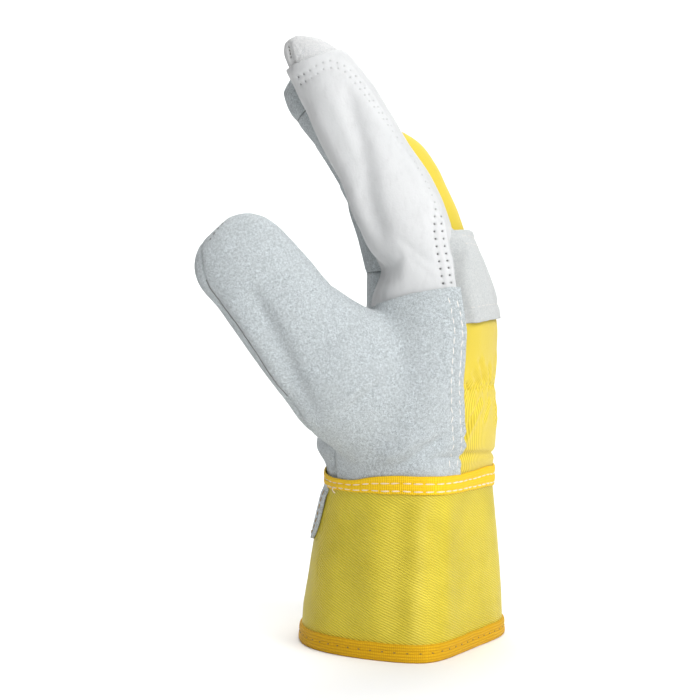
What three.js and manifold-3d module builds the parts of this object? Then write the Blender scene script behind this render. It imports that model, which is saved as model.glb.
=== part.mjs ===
// A right-hand leather work glove that stands on its stiff cuff with the fingers up.
// Millimetres, +Z up. The palm faces -X, the thumb side faces -Y, and the cuff's hem stands on z = 0.
// The glove is a hollow shell: a hand, a thumb and four fingers, cut along the seams into the pieces that are sewn
// together, over a flared cuff with a tape at the wrist, a binding round the hem and a patch over the pulse.
import * as THREE from "three";
import { mergeVertices } from "three/addons/utils/BufferGeometryUtils.js";
import Module from "manifold-3d";

const wasm = await Module();
wasm.setup();

// Driving sizes
const LEATHER = 1.8; // wall of the hand, thumb and fingers
const CANVAS = 1.5; // wall of the cuff
const TAPE = 1.0; // thickness of the wrist tape and of the hem binding
const STRAP = 1.3; // thickness of the knuckle strap and of the pulse patch
const GAP = 0.3; // clearance left along every seam
const TAPE_LOW = 66.5;
const TAPE_HIGH = 74.8;
const CUFF_TOP = (TAPE_LOW + TAPE_HIGH) / 2; // the tape covers where the cuff's upper edge meets the hand
const HEM_HIGH = 7;
const HEM_FLOOR = 1.2; // thickness of the binding under the cuff's edge
const CUFF_AT = { x: 18.3, y: 1.5 }; // the cuff's middle, seen from the middle of the whole glove's box
const FINGER_SIDES = 14;
const THUMB_SIDES = 16;
const HAND_SIDES = 30;
const FAR = 120; // past the glove on every side

// Rows of a table as objects, so that every number carries its column's name.
const table = (columns, rows) => rows.map((row) => Object.fromEntries(columns.map((name, i) => [name, row[i]])));

// The cuff seen from above, at its hem and at the wrist: flat towards the back, round towards the palm.
const CUFF_OUTLINE = table(["place", "hemX", "hemY", "wristX", "wristY"], [
  ["thumb_fold", 8.5, -57.2, 12.5, -47.6],
  ["thumb_fold_back", 13.5, -51.5, 17, -42.5],
  ["back_thumb_side", 28.5, -27, 29.5, -21.5],
  ["back_middle", 46, 8, 41, 5],
  ["back_little_side", 35, 37, 30.5, 31.5],
  ["little_fold", -1, 56, 4, 47.2],
  ["palm_little_side", -33, 34, -24, 29.5],
  ["palm_middle", -44.4, -1, -33, 0],
  ["palm_bend", -39, -27, -28.6, -24],
  ["palm_thumb_side", -20, -45.5, -12, -39.5],
  ["thumb_fold_palm", 2, -56.3, 6.5, -47],
]);

// How far the cuff has spread at a height, from 0 at the wrist to 1 at the hem.
const CUFF_SPREAD = table(["z", "spread"], [
  [0, 1],
  [16, 0.88],
  [32, 0.67],
  [48, 0.39],
  [TAPE_LOW, 0],
  [TAPE_HIGH, 0],
]);

// Level sections of the hand. deep is the half size from palm to back and wide the half size along Y.
// A section is an oval where both powers are 2, squarer above 2 and more pointed below 2.
const LEVEL_COLUMNS = ["z", "x", "deep", "wide", "deepPower", "widePower"];
const HAND = table(LEVEL_COLUMNS, [
  [84, 1.6, 39.2, 47.8, 1.6, 2.1],
  [95, 4.4, 36.8, 49, 1.8, 2.2],
  [104, 7.4, 33.5, 50, 2, 2.2],
  [110, 9.3, 30.7, 50.5, 2.1, 2.3],
  [116, 10.6, 30.5, 50.7, 2.2, 2.4],
  [125, 11.8, 29.1, 51, 2.3, 2.5],
  [137, 12.5, 28.4, 51, 2.4, 2.6],
  [153, 10.6, 25.8, 49.8, 2.4, 2.6],
  [160, 9, 24.2, 48.6, 2.4, 2.6],
  [166, 7.5, 22, 46.5, 2.3, 2.5],
  [170, 7, 17, 42.5, 2.2, 2.4],
  [172.5, 7, 9, 36, 2, 2.2],
]);

// The inner face of the knuckle strap, which bridges the hollows between the fingers.
const STRAP_FORM = table(LEVEL_COLUMNS, [
  [136, 12.5, 29, 51.6, 2.4, 2.7],
  [147, 12, 27.2, 51.4, 2.4, 2.8],
  [153, 11, 26.4, 51.2, 2.4, 3],
  [160, 9.3, 25.4, 51, 2.4, 3.2],
  [168, 7, 24.2, 50.6, 2.4, 3.2],
  [177, 4.8, 23.4, 50, 2.4, 3],
]);

// Folds: how deep a side of a tube is drawn in, between two heights of its rings. Side 0 is on the thumb side, and
// the sides are counted towards the back of the hand.
const FOLD_COLUMNS = ["side", "from", "to", "depth"];
const HAND_FOLDS = table(FOLD_COLUMNS, [
  [1, 83, 85, 1.5], // the fold just above the tape
  [4, 103, 117, 0.9], // the ruffles that the elastic gathers on the back, from here down
  [6, 103, 117, 1.1],
  [8, 103, 117, 1.1],
  [10, 103, 117, 0.9],
]);
const THUMB_FOLDS = table(FOLD_COLUMNS, [
  [15, 130, 157, 1.5], // the upper half of the long valley on the thumb panel
  [14, 113, 123, 1.5], // its lower half
]);
const INDEX_FOLDS = table(FOLD_COLUMNS, [
  [0, 213, 228, 1], // the upper end of the long valley on the index leather
  [13, 188, 203, 1.1],
  [12, 160, 173, 1.2], // its lower end
]);

// Thumb and fingers: the middle of each section and its half sizes across the digit.
const DIGIT_COLUMNS = ["x", "y", "z", "deep", "wide"];
const THUMB = table(DIGIT_COLUMNS, [
  [-4, -29, 78, 13, 9],
  [-10, -33.5, 93, 21.5, 13.6],
  [-15.5, -36, 103.4, 26.5, 15.2],
  [-22.4, -38.5, 113.6, 27.8, 15.8],
  [-31.2, -40, 122.4, 26, 15.8],
  [-40.6, -42, 130.6, 23.2, 15.4],
  [-48.2, -43.5, 139.4, 21.6, 15],
  [-55.4, -44.8, 149, 21, 14.6],
  [-61, -46, 155.8, 20.5, 14.2],
  [-66, -46.7, 161.3, 19.6, 13.6],
  [-69.8, -47, 165.4, 17.8, 12.4],
  [-72.9, -47.3, 168.8, 14.9, 10.5],
  [-75.2, -47.5, 171.4, 10.9, 8],
  [-76.7, -47.6, 173, 6, 4.8],
]);
const FINGER_COLUMNS = ["x", "z", "deep", "wide"];
const FINGERS = {
  index: {
    y: -37,
    slab: [-FAR, -24.8],
    tip: { x: -37, z: 243.4, slope: 17 },
    lap: 0.8, // how far towards the back the seam between front and back lies, as a share of the half depth
    folds: INDEX_FOLDS,
    rows: table(FINGER_COLUMNS, [
      [8, 135, 17.5, 11],
      [6.5, 148, 17.8, 11.8],
      [4.6, 160, 17, 12.1],
      [2, 172, 18, 12.2],
      [-5.3, 188.9, 18.1, 12],
      [-12.4, 202.2, 16.2, 11.8],
      [-19.6, 214, 15.6, 11.6],
      [-27.2, 227.5, 14.1, 11.2],
      [-34.4, 237.3, 12.1, 10.5],
      [-41, 244.8, 9.3, 8.9],
      [-44.8, 249.6, 6.5, 6.6],
      [-46.8, 252.8, 3.4, 3.8],
    ]),
  },
  middle: {
    y: -12.4,
    slab: [-24.8, 0],
    tip: { x: -37.5, z: 230.5, slope: 45 },
    lap: 0.3,
    rows: table(FINGER_COLUMNS, [
      [11, 140, 22, 11],
      [10, 152, 24, 11.7],
      [6.2, 165, 23, 11.9],
      [2.6, 177, 22.5, 11.9],
      [-1.8, 188.6, 21.6, 11.8],
      [-4.5, 195.5, 21, 11.7],
      [-8, 201.5, 19.6, 11.6],
      [-17, 210.5, 16, 11.4],
      [-26, 220, 13.7, 11],
      [-34.5, 228.5, 12.4, 10.6],
      [-41.5, 234.3, 9.5, 9],
      [-45.6, 237, 6.5, 6.4],
      [-48.3, 238.8, 3.5, 3.5],
    ]),
  },
  ring: {
    y: 12.2,
    slab: [0, 24.2],
    tip: { x: -32.5, z: 225, slope: 42 },
    lap: 0.3,
    rows: table(FINGER_COLUMNS, [
      [11, 140, 21, 11],
      [10, 152, 23, 11.5],
      [7.5, 164, 22.6, 11.6],
      [4, 175.5, 21.2, 11.6],
      [-1, 186.5, 19.6, 11.5],
      [-7, 196.8, 17.6, 11.3],
      [-14.5, 206.5, 14.6, 11],
      [-29.6, 222.9, 11.2, 10.2],
      [-36, 228, 8.6, 8.6],
      [-39.8, 230.8, 6, 6.2],
      [-42.3, 232.6, 3.2, 3.4],
    ]),
  },
  little: {
    y: 35.6,
    slab: [24.2, FAR],
    tip: { x: -19.5, z: 209.5, slope: 40 },
    lap: 0.3,
    rows: table(FINGER_COLUMNS, [
      [12, 135, 19.5, 10],
      [11, 147, 19.6, 10.5],
      [9, 159, 19.2, 10.7],
      [5.5, 169.5, 18.4, 10.7],
      [1.5, 179.5, 17, 10.5],
      [-10.5, 198, 13.4, 9.9],
      [-17, 206.3, 11.4, 9.3],
      [-22.6, 212.8, 9.2, 8.3],
      [-26.2, 216.8, 6.6, 6.4],
      [-28.2, 219.2, 3.5, 3.6],
    ]),
  },
};

// Seam lines seen from the thumb side, as points of x and z.
const THUMB_PANEL_TOP = [[-14.8, 142.4], [-7, 145.2], [1.9, 147.5], [16.4, 150], [21.6, 150.4]];
const THUMB_PANEL_BACK = [[22.4, 60], [22.6, 80], [24.3, 86], [23.3, 112], [24.3, 133], [21.6, 150.4], [21.6, 175]];
const LITTLE_SIDE_BACK = [[8, 60], [12, 110], [14, 175]];
const FINGER_BASE = 158; // height of the seam across the palm, and of the one that the strap hides on the back

// The seam between the thumb panel and the palm, as points of y and z.
const THUMB_SEAM = [[-19, 60], [-21, 76], [-31, 90], [-40, 105], [-44, 125], [-46, 145], [-47.6, 160], [-47.6, 190]];

const STRAP_SHAPE = { low: 138.6, high: 175.6, thumbSide: 21.6, littleSide: 18 };
const PATCH = { low: 43.2, high: 76.2, wide: 17, corner: 9 };

// The direction along a digit at a row, from its neighbours.
function along(rows, i) {
  const from = rows[Math.max(i - 1, 0)];
  const to = rows[Math.min(i + 1, rows.length - 1)];
  return new THREE.Vector3(to.x - from.x, 0, to.z - from.z).normalize();
}

// Towards the back of the hand, square to the direction along the digit.
const towardsBack = (direction) => new THREE.Vector3(direction.z, 0, -direction.x);

// A manifold-3d solid from a closed three.js geometry.
function solid(geometry) {
  const bare = geometry.clone();
  bare.deleteAttribute("normal");
  bare.deleteAttribute("uv");
  const merged = mergeVertices(bare, 1e-4);
  const mesh = new wasm.Mesh({
    numProp: 3,
    vertProperties: merged.attributes.position.array,
    triVerts: new Uint32Array(merged.index.array),
  });
  return new wasm.Manifold(mesh);
}

// How deep the folds draw in a side of a tube at a height.
function foldDepth(folds, side, z) {
  const fold = folds.find((row) => row.side === side && z > row.from && z < row.to);
  return fold ? fold.depth : 0;
}

// A closed tube: a cylinder whose rings of vertices are laid on the given rings, with flat ends.
// Angle 0 is on the thumb side, and angles grow towards the back of the hand.
function tube(rings, sides, folds = []) {
  const spans = rings.length - 1;
  const geometry = new THREE.CylinderGeometry(1, 1, 1, sides, spans);
  const position = geometry.attributes.position;
  for (let i = 0; i < position.count; i++) {
    const ring = rings[Math.round((position.getY(i) + 0.5) * spans)];
    const onAxis = Math.hypot(position.getX(i), position.getZ(i)) < 0.5;
    const angle = Math.atan2(position.getX(i), position.getZ(i));
    const point = onAxis ? ring.middle.clone() : ring.at(angle);
    const side = Math.round((angle / (2 * Math.PI) + 1) * sides) % sides;
    const inwards = ring.middle.clone().sub(point).normalize();
    point.addScaledVector(inwards, foldDepth(folds, side, ring.middle.z));
    position.setXYZ(i, point.x, point.y, point.z);
  }
  return solid(geometry);
}

// A signed power, which keeps a section's four quarters alike.
const power = (value, exponent) => Math.sign(value) * Math.abs(value) ** exponent;

// A ring in the plane through the middle, with half sizes deep and wide.
function ovalRing(middle, back, deep, wide, deepPower, widePower) {
  const at = (angle) => {
    const point = middle.clone().addScaledVector(back, power(Math.sin(angle), 2 / deepPower) * deep);
    point.y -= power(Math.cos(angle), 2 / widePower) * wide;
    return point;
  };
  return { middle, at };
}

// A level ring on a row of a table of level sections, grown by so much.
function levelRing(row, grow, z = row.z) {
  const wide = row.wide + grow * 1.2;
  const middle = new THREE.Vector3(row.x, 0, z);
  return ovalRing(middle, new THREE.Vector3(1, 0, 0), row.deep + grow, wide, row.deepPower, row.widePower);
}

// The cuff's spread at a height, along straight lines between the rows of its table.
function spreadAt(z) {
  const i = Math.max(1, CUFF_SPREAD.findIndex((row) => row.z >= z));
  const [from, to] = z > TAPE_HIGH ? CUFF_SPREAD.slice(-2) : CUFF_SPREAD.slice(i - 1, i + 1);
  return THREE.MathUtils.lerp(from.spread, to.spread, (z - from.z) / (to.z - from.z));
}

// A level ring on the cuff's outline, grown by so much.
function cuffRing(z, grow) {
  const spread = spreadAt(z);
  const mix = THREE.MathUtils.lerp;
  const corners = CUFF_OUTLINE.map(
    ({ hemX, hemY, wristX, wristY }) => new THREE.Vector3(mix(wristX, hemX, spread), mix(wristY, hemY, spread), z),
  );
  const curve = new THREE.CatmullRomCurve3(corners, true, "centripetal");
  const at = (angle) => {
    const turn = (angle / (2 * Math.PI) + 1) % 1;
    const tangent = curve.getTangentAt(turn);
    return curve.getPointAt(turn).add(new THREE.Vector3(tangent.y, -tangent.x, 0).multiplyScalar(grow));
  };
  return { middle: new THREE.Vector3(5, 0, z), at };
}

// A tube along a digit, grown by so much all round and past its end.
function digitTube({ rows, y, folds }, grow, sides) {
  const rings = rows.map((row, i) => {
    const direction = along(rows, i);
    const middle = new THREE.Vector3(row.x, row.y ?? y, row.z);
    if (i === rows.length - 1) middle.addScaledVector(direction, grow);
    return ovalRing(middle, towardsBack(direction), row.deep + grow, row.wide + grow, 2.15, 2.15);
  });
  return tube(rings, sides, folds);
}

// The hand from the wrist to the knuckles, grown by so much, from a height below the wrist.
function handTube(grow, low) {
  const wrist = [cuffRing(low, grow), cuffRing(TAPE_HIGH, grow)];
  const end = HAND.length - 1;
  const levels = HAND.map((row, i) => levelRing(row, grow, i === end ? row.z + grow : row.z));
  return tube([...wrist, ...levels], HAND_SIDES, HAND_FOLDS);
}

// The whole hand as one closed form, grown by so much.
function handForm(grow, low) {
  const digits = Object.values(FINGERS).map((finger) => digitTube(finger, grow, FINGER_SIDES));
  digits.push(digitTube({ rows: THUMB, folds: THUMB_FOLDS }, grow, THUMB_SIDES));
  return digits.reduce((form, digit) => form.add(digit), handTube(grow, low));
}

// A polygon of x and z points, carried along Y from one side to the other.
function prismAlongY(points, from, to) {
  const shape = new THREE.Shape(points.map(([x, z]) => new THREE.Vector2(x, z)));
  const geometry = new THREE.ExtrudeGeometry(shape, { depth: to - from, bevelEnabled: false });
  return solid(geometry.rotateX(Math.PI / 2).translate(0, to, 0));
}

// A shape of y and z points, carried along X from one side to the other.
function prismAlongX(shape, from, to) {
  const geometry = new THREE.ExtrudeGeometry(shape, { depth: to - from, bevelEnabled: false, curveSegments: 4 });
  const turn = new THREE.Matrix4().makeBasis(
    new THREE.Vector3(0, 1, 0),
    new THREE.Vector3(0, 0, 1),
    new THREE.Vector3(1, 0, 0),
  );
  return solid(geometry.applyMatrix4(turn).translate(from, 0, 0));
}

const polygon = (points) => new THREE.Shape(points.map(([y, z]) => new THREE.Vector2(y, z)));
const moved = (points, dx, dz) => points.map(([x, z]) => [x + dx, z + dz]);

// A solid cut along the border of a region, with half of the gap on each side of the border.
function cut(whole, region) {
  return [whole.intersect(region(-GAP / 2)), whole.subtract(region(GAP / 2))];
}

// Everything behind a line that runs up the glove, between two values of y.
const behind = (line, shift, from, to) =>
  prismAlongY([...moved(line, -shift, 0), [FAR, line.at(-1)[1]], [FAR, line[0][1]]], from, to);

// Everything past a finger's base seam: the index finger's seam follows the thumb panel's top edge.
function pastBase(name, shift) {
  const isIndex = name === "index";
  const seam = isIndex ? THUMB_PANEL_TOP : [[-FAR, FINGER_BASE]];
  const palmSide = isIndex ? [[-85, 280], [-70, 200], [-30, 165]] : [[-FAR, 280]];
  const line = [...palmSide, ...moved(seam, 0, -shift), [FAR, FINGER_BASE - shift], [FAR, 280]];
  return prismAlongY(line, ...FINGERS[name].slab);
}

// Everything past the tip cap's seam of a finger.
function pastTip({ tip }, shift) {
  const slope = THREE.MathUtils.degToRad(tip.slope);
  const at = (across, up) => [
    tip.x + Math.cos(slope) * across - Math.sin(slope) * up,
    tip.z + Math.sin(slope) * across + Math.cos(slope) * up,
  ];
  return prismAlongY([at(-40, -shift), at(40, -shift), at(40, 40), at(-40, 40)], -FAR, FAR);
}

// Everything behind the seam that runs up both sides of a finger.
function backOfFinger({ rows, lap }, shift) {
  const line = rows.map((row, i) => {
    const back = towardsBack(along(rows, i));
    const offset = row.deep * lap - shift;
    return [row.x + back.x * offset, row.z + back.z * offset];
  });
  const last = along(rows, rows.length - 1).multiplyScalar(30);
  const end = [line.at(-1)[0] + last.x, line.at(-1)[1] + last.z];
  return prismAlongY([[line[0][0], 100], ...line, end, [FAR, end[1]], [FAR, 100]], -FAR, FAR);
}

// The thin gap between a finger and the next, through the web.
function webGap(name) {
  const y = FINGERS[name].slab[1];
  return prismAlongY([[-FAR, FINGER_BASE], [FAR, FINGER_BASE], [FAR, 280], [-FAR, 280]], y - GAP / 2, y + GAP / 2);
}

// Leather, canvas, tape and coated canvas
const suede = new THREE.MeshStandardMaterial({ color: 0xc4cbce, roughness: 0.95, metalness: 0 });
const grain = new THREE.MeshStandardMaterial({ color: 0xe4e6e7, roughness: 0.6, metalness: 0 });
const canvas = new THREE.MeshStandardMaterial({ color: 0xf5dc45, roughness: 0.85, metalness: 0 });
const coated = new THREE.MeshStandardMaterial({ color: 0xd9cf4f, roughness: 0.8, metalness: 0 });
const binding = new THREE.MeshStandardMaterial({ color: 0xf4bd22, roughness: 0.75, metalness: 0 });

const glove = new THREE.Group();
glove.position.set(CUFF_AT.x, CUFF_AT.y, 0);

// Adds a solid to the glove as one named piece.
function piece(name, made, material) {
  const { vertProperties, triVerts } = made.getMesh();
  const geometry = new THREE.BufferGeometry();
  geometry.setAttribute("position", new THREE.BufferAttribute(vertProperties, 3));
  geometry.setIndex(new THREE.BufferAttribute(triVerts, 1));
  geometry.computeVertexNormals();
  const mesh = new THREE.Mesh(geometry, material);
  mesh.name = name;
  glove.add(mesh);
}

// Hand, thumb and fingers: one shell, open at the wrist, cut along its seams
let shell = handForm(0, CUFF_TOP + GAP).subtract(handForm(-LEATHER, CUFF_TOP - 2));

for (const [name, finger] of Object.entries(FINGERS)) {
  let [whole, hand] = cut(shell, (shift) => pastBase(name, shift));
  if (name !== "little") {
    whole = whole.subtract(webGap(name));
    hand = hand.subtract(webGap(name));
  }
  shell = hand;
  const [tip, sleeve] = cut(whole, (shift) => pastTip(finger, shift));
  const [back, front] = cut(sleeve, (shift) => backOfFinger(finger, shift));
  const isIndex = name === "index";
  piece(name + "_tip", tip, suede);
  piece(name + "_back", back, isIndex ? grain : canvas);
  piece(name + "_front", front, isIndex ? grain : suede);
}

const handBack = (shift) =>
  behind(THUMB_PANEL_BACK, shift, -FAR, 0).add(behind(LITTLE_SIDE_BACK, shift, 0, FAR));
const thumbSide = (shift) => {
  const palmSide = polygon([[-FAR, 60], ...moved(THUMB_SEAM, shift, 0), [-FAR, 190]]);
  const radialSide = polygon([[-FAR, 60], [-20, 60], [-20, 175], [-FAR, 175]]);
  return prismAlongX(palmSide, -FAR, 1).add(prismAlongX(radialSide, 0, 40));
};
const [back, front] = cut(shell, handBack);
const [thumbPanel, palm] = cut(front, thumbSide);
piece("hand_back", back, canvas);
piece("thumb_panel", thumbPanel, suede);
piece("palm", palm, suede);

// Knuckle strap: a second layer over the back and the finger bases
const strapTube = (grow) => tube(STRAP_FORM.map((row) => levelRing(row, grow)), HAND_SIDES);
const { low: strapLow, high: strapHigh, thumbSide: strapNear, littleSide: strapFar } = STRAP_SHAPE;
const strapRegion = (x, from, to) =>
  prismAlongY([[x, strapLow], [FAR, strapLow], [FAR, strapHigh], [x, strapHigh]], from, to);
const overHand = strapRegion(strapNear, -FAR, 1).add(strapRegion(strapFar, 0, FAR));
const strapWall = strapTube(STRAP).subtract(strapTube(0)).subtract(handForm(GAP, CUFF_TOP));
piece("knuckle_strap", strapWall.intersect(overHand), suede);

// Cuff, with the tape over its upper edge and the binding round its lower edge
const cuffTube = (grow, low, high) => {
  const between = CUFF_SPREAD.map(({ z }) => z).filter((z) => z > low && z < high);
  return tube([low, ...between, high].map((z) => cuffRing(z, grow)), HAND_SIDES);
};
const cuffWall = (outer, inner, low, high) =>
  cuffTube(outer, low, high).subtract(cuffTube(inner, low - 1, high + 1));
piece("cuff", cuffWall(0, -CANVAS, HEM_FLOOR + GAP, CUFF_TOP), coated);
piece("wrist_tape", cuffWall(GAP + TAPE, GAP, TAPE_LOW, TAPE_HIGH), binding);
const channel = cuffWall(GAP, -CANVAS - GAP, HEM_FLOOR, HEM_HIGH + 1);
piece("hem_binding", cuffWall(GAP + TAPE, -CANVAS - GAP - TAPE, 0, HEM_HIGH).subtract(channel), binding);

// Pulse patch: hangs from the wrist over the tape, on the palm side
const patchShape = new THREE.Shape();
patchShape.moveTo(-PATCH.wide, PATCH.high);
patchShape.lineTo(-PATCH.wide, PATCH.low + PATCH.corner);
patchShape.quadraticCurveTo(-PATCH.wide, PATCH.low, -PATCH.wide + PATCH.corner, PATCH.low);
patchShape.lineTo(PATCH.wide - PATCH.corner, PATCH.low);
patchShape.quadraticCurveTo(PATCH.wide, PATCH.low, PATCH.wide, PATCH.low + PATCH.corner);
patchShape.lineTo(PATCH.wide, PATCH.high);
const overTape = GAP + TAPE + GAP;
const patchWall = cuffWall(overTape + STRAP, overTape, PATCH.low - 2, PATCH.high + 2);
piece("pulse_patch", patchWall.intersect(prismAlongX(patchShape, -FAR, 0)), suede);

export default glove;
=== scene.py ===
"""The looks of a right-hand leather work glove, built round its packed model.

The glove stands on its cuff. The palm faces -X, the back of the hand +X and the thumb side -Y.
Shapes are worked out in millimetres from the middle of the cuff's hem, and placed in the frame at the end.
"""

import functools
import math
from types import SimpleNamespace

import bmesh
import bpy
import numpy as np
from mathutils import Matrix, Vector, noise
from mathutils.bvhtree import BVHTree
from mathutils.kdtree import KDTree


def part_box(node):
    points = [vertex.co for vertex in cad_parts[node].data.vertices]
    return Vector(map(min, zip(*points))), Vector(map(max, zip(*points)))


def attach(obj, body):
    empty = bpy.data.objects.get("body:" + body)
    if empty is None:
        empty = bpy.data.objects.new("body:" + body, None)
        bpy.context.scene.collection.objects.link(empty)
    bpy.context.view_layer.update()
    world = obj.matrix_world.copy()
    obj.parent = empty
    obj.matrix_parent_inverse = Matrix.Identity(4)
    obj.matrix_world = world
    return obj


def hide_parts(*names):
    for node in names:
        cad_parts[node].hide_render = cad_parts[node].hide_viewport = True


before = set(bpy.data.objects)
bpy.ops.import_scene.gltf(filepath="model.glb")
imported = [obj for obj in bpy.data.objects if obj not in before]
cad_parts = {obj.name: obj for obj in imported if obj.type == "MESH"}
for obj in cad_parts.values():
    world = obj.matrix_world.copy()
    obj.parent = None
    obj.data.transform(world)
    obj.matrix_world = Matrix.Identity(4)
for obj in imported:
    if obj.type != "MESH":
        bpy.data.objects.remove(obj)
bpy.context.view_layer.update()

bl_info = {
    "name": "Leather work glove",
    "version": (1, 0, 0),
    "blender": (4, 5, 0),
    "location": "3D View > Sidebar > Glove",
    "description": "Builds a rigger glove of suede, grain leather and canvas on its stiff cuff",
    "category": "Object",
}

MM = 0.001
CUFF_AT = Vector((18.3, 1.5, 0.0))
TO_FRAME = Matrix.Scale(MM, 4) @ Matrix.Translation(CUFF_AT)
TO_GLOVE = TO_FRAME.inverted()

# The camera's place, and in pixels of the picture its focal length, its middle column and its horizon's row
EYE = Vector((-22.6, -600.0, 120.8))
FOCAL = 1368.0
MIDDLE_COLUMN, HORIZON = 350.0, 360.0
PICTURE = 700.0


def table(columns, *rows):
    """Rows of numbers as one object with an array for each named column."""
    return SimpleNamespace(**dict(zip(columns.split(), np.array(rows, float).T)))


def finger(y, *rows):
    """Sections along a finger that bends in one plane: the middle's x and z, and the half sizes across."""
    return table("x y z deep wide", *((x, y, z, deep, wide) for x, z, deep, wide in rows))


# The cuff seen from above, from the fold on the thumb side round the back to the palm
CUFF_OUTLINE = table(
    "hem_x hem_y wrist_x wrist_y",
    (8.5, -57.2, 12.5, -47.6),
    (13.5, -51.5, 17, -42.5),
    (28.5, -27, 29.5, -21.5),
    (46, 8, 41, 5),
    (35, 37, 30.5, 31.5),
    (-1, 56, 4, 47.2),
    (-33, 34, -24, 29.5),
    (-44.4, -1, -33, 0),
    (-39, -27, -28.6, -24),
    (-20, -45.5, -12, -39.5),
    (2, -56.3, 6.5, -47),
)
CUFF_SPREAD = table("z spread", (0, 1), (16, 0.88), (32, 0.67), (48, 0.39), (66.5, 0), (90, 0))
TAPE_LOW, TAPE_HIGH = 66.5, 74.8
WRIST_LOW = 58  # the hand's form goes on down to here, inside the cuff
CUFF_LOW, CUFF_HIGH, CUFF_RINGS = 1.4, 70.6, 46

# Level sections: deep is the half size from palm to back, wide along Y. Powers over 2 make a squarer oval.
HAND = table(
    "z x deep wide deep_power wide_power",
    (84, 1.6, 39.2, 47.8, 1.6, 2.1),
    (95, 4.4, 36.8, 49, 1.8, 2.2),
    (110, 9.6, 30.6, 50.5, 2.1, 2.3),
    (125, 11.8, 29.1, 51, 2.3, 2.5),
    (137, 12.5, 28.4, 51, 2.4, 2.6),
    (146, 11.8, 26.9, 50.6, 2.4, 2.6),
    (153, 10.6, 25.8, 49.8, 2.4, 2.6),
    (160, 9, 24.2, 48.6, 2.4, 2.6),
    (166, 7.5, 22, 46.5, 2.3, 2.5),
    (170, 7, 17, 42.5, 2.2, 2.4),
    (172.5, 7, 9, 36, 2, 2.2),
)
STRAP_FORM = table(
    "z x deep wide deep_power wide_power",
    (132, 12.5, 29, 51.6, 2.4, 2.7),
    (147, 12, 27.2, 51.4, 2.4, 2.8),
    (153, 11, 26.4, 51.2, 2.4, 3),
    (160, 9.3, 25.4, 51, 2.4, 3.2),
    (168, 7, 24.2, 50.6, 2.4, 3.2),
    (174, 5.5, 23.7, 50.2, 2.4, 3),
    (184, 3.4, 22.8, 49.7, 2.4, 3),
)

# Sections along the thumb: the middle, and the half sizes across
THUMB = table(
    "x y z deep wide",
    (-4, -29, 78, 13, 9),
    (-10, -33.5, 93, 21.5, 13.6),
    (-15.5, -36, 103.4, 26.5, 15.2),
    (-22.4, -38.5, 113.6, 27.8, 15.8),
    (-31.2, -40, 122.4, 26, 15.8),
    (-40.6, -42, 130.6, 23.2, 15.4),
    (-48.2, -43.5, 139.4, 21.6, 15),
    (-55.4, -44.8, 149, 21, 14.6),
    (-61, -46, 155.8, 20.5, 14.2),
    (-66, -46.7, 161.3, 20.4, 13.7),
    (-69.8, -47, 165.4, 19.3, 12.7),
    (-72.9, -47.3, 168.8, 16.9, 11.1),
    (-75.2, -47.5, 171.4, 13.1, 8.9),
    (-76.9, -47.6, 173.2, 8.2, 5.8),
)
INDEX = finger(
    -37,
    (8, 135, 17.5, 11),
    (6.5, 148, 17.8, 11.8),
    (4.6, 160, 17, 12.1),
    (2, 172, 18, 12.2),
    (-5.3, 188.9, 18.1, 12),
    (-12.4, 202.2, 16.2, 11.8),
    (-19.2, 214.3, 16.1, 11.6),
    (-26.4, 228, 15.1, 11.3),
    (-33.3, 238, 13.5, 10.8),
    (-40.3, 245.2, 10.1, 9.1),
    (-44.8, 249.6, 6.5, 6.6),
    (-46.8, 252.8, 3.4, 3.8),
)
MIDDLE = finger(
    -12.4,
    (11, 140, 22, 11),
    (10, 152, 24, 11.7),
    (6.2, 165, 23, 11.9),
    (2.6, 177, 22.5, 11.9),
    (-1.8, 188.6, 21.6, 11.8),
    (-4.5, 195.5, 21, 11.7),
    (-8, 201.5, 19.6, 11.6),
    (-17, 210.5, 16, 11.4),
    (-26, 220, 13.7, 11),
    (-34.5, 228.5, 12.4, 10.6),
    (-41.9, 234.6, 10.4, 9.2),
    (-46.3, 237.4, 7.6, 7),
    (-49.4, 239.2, 4.2, 4.2),
)
RING = finger(
    12.2,
    (11, 140, 21, 11),
    (10, 152, 23, 11.5),
    (7.5, 164, 22.6, 11.6),
    (4, 175.5, 21.2, 11.6),
    (-1, 186.5, 19.6, 11.5),
    (-7, 196.8, 17.6, 11.3),
    (-14.5, 206.5, 14.6, 11),
    (-22.3, 215.3, 13, 10.7),
    (-29.6, 222.9, 11.2, 10.2),
    (-36, 228, 8.6, 8.6),
    (-39.8, 230.8, 6, 6.2),
    (-42.3, 232.6, 3.2, 3.4),
)
LITTLE = finger(
    35.6,
    (12, 135, 19.5, 10),
    (11, 147, 19.6, 10.5),
    (9, 159, 19.2, 10.7),
    (5.5, 169.5, 18.4, 10.7),
    (1.5, 179.5, 17, 10.5),
    (-4, 189, 15, 10.2),
    (-10.5, 198, 13.4, 9.9),
    (-17, 206.3, 11.4, 9.3),
    (-22.6, 212.8, 9.2, 8.3),
    (-26.2, 216.8, 6.6, 6.4),
    (-28.2, 219.2, 3.5, 3.6),
)
DIGITS = (THUMB, INDEX, MIDDLE, RING, LITTLE)

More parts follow.
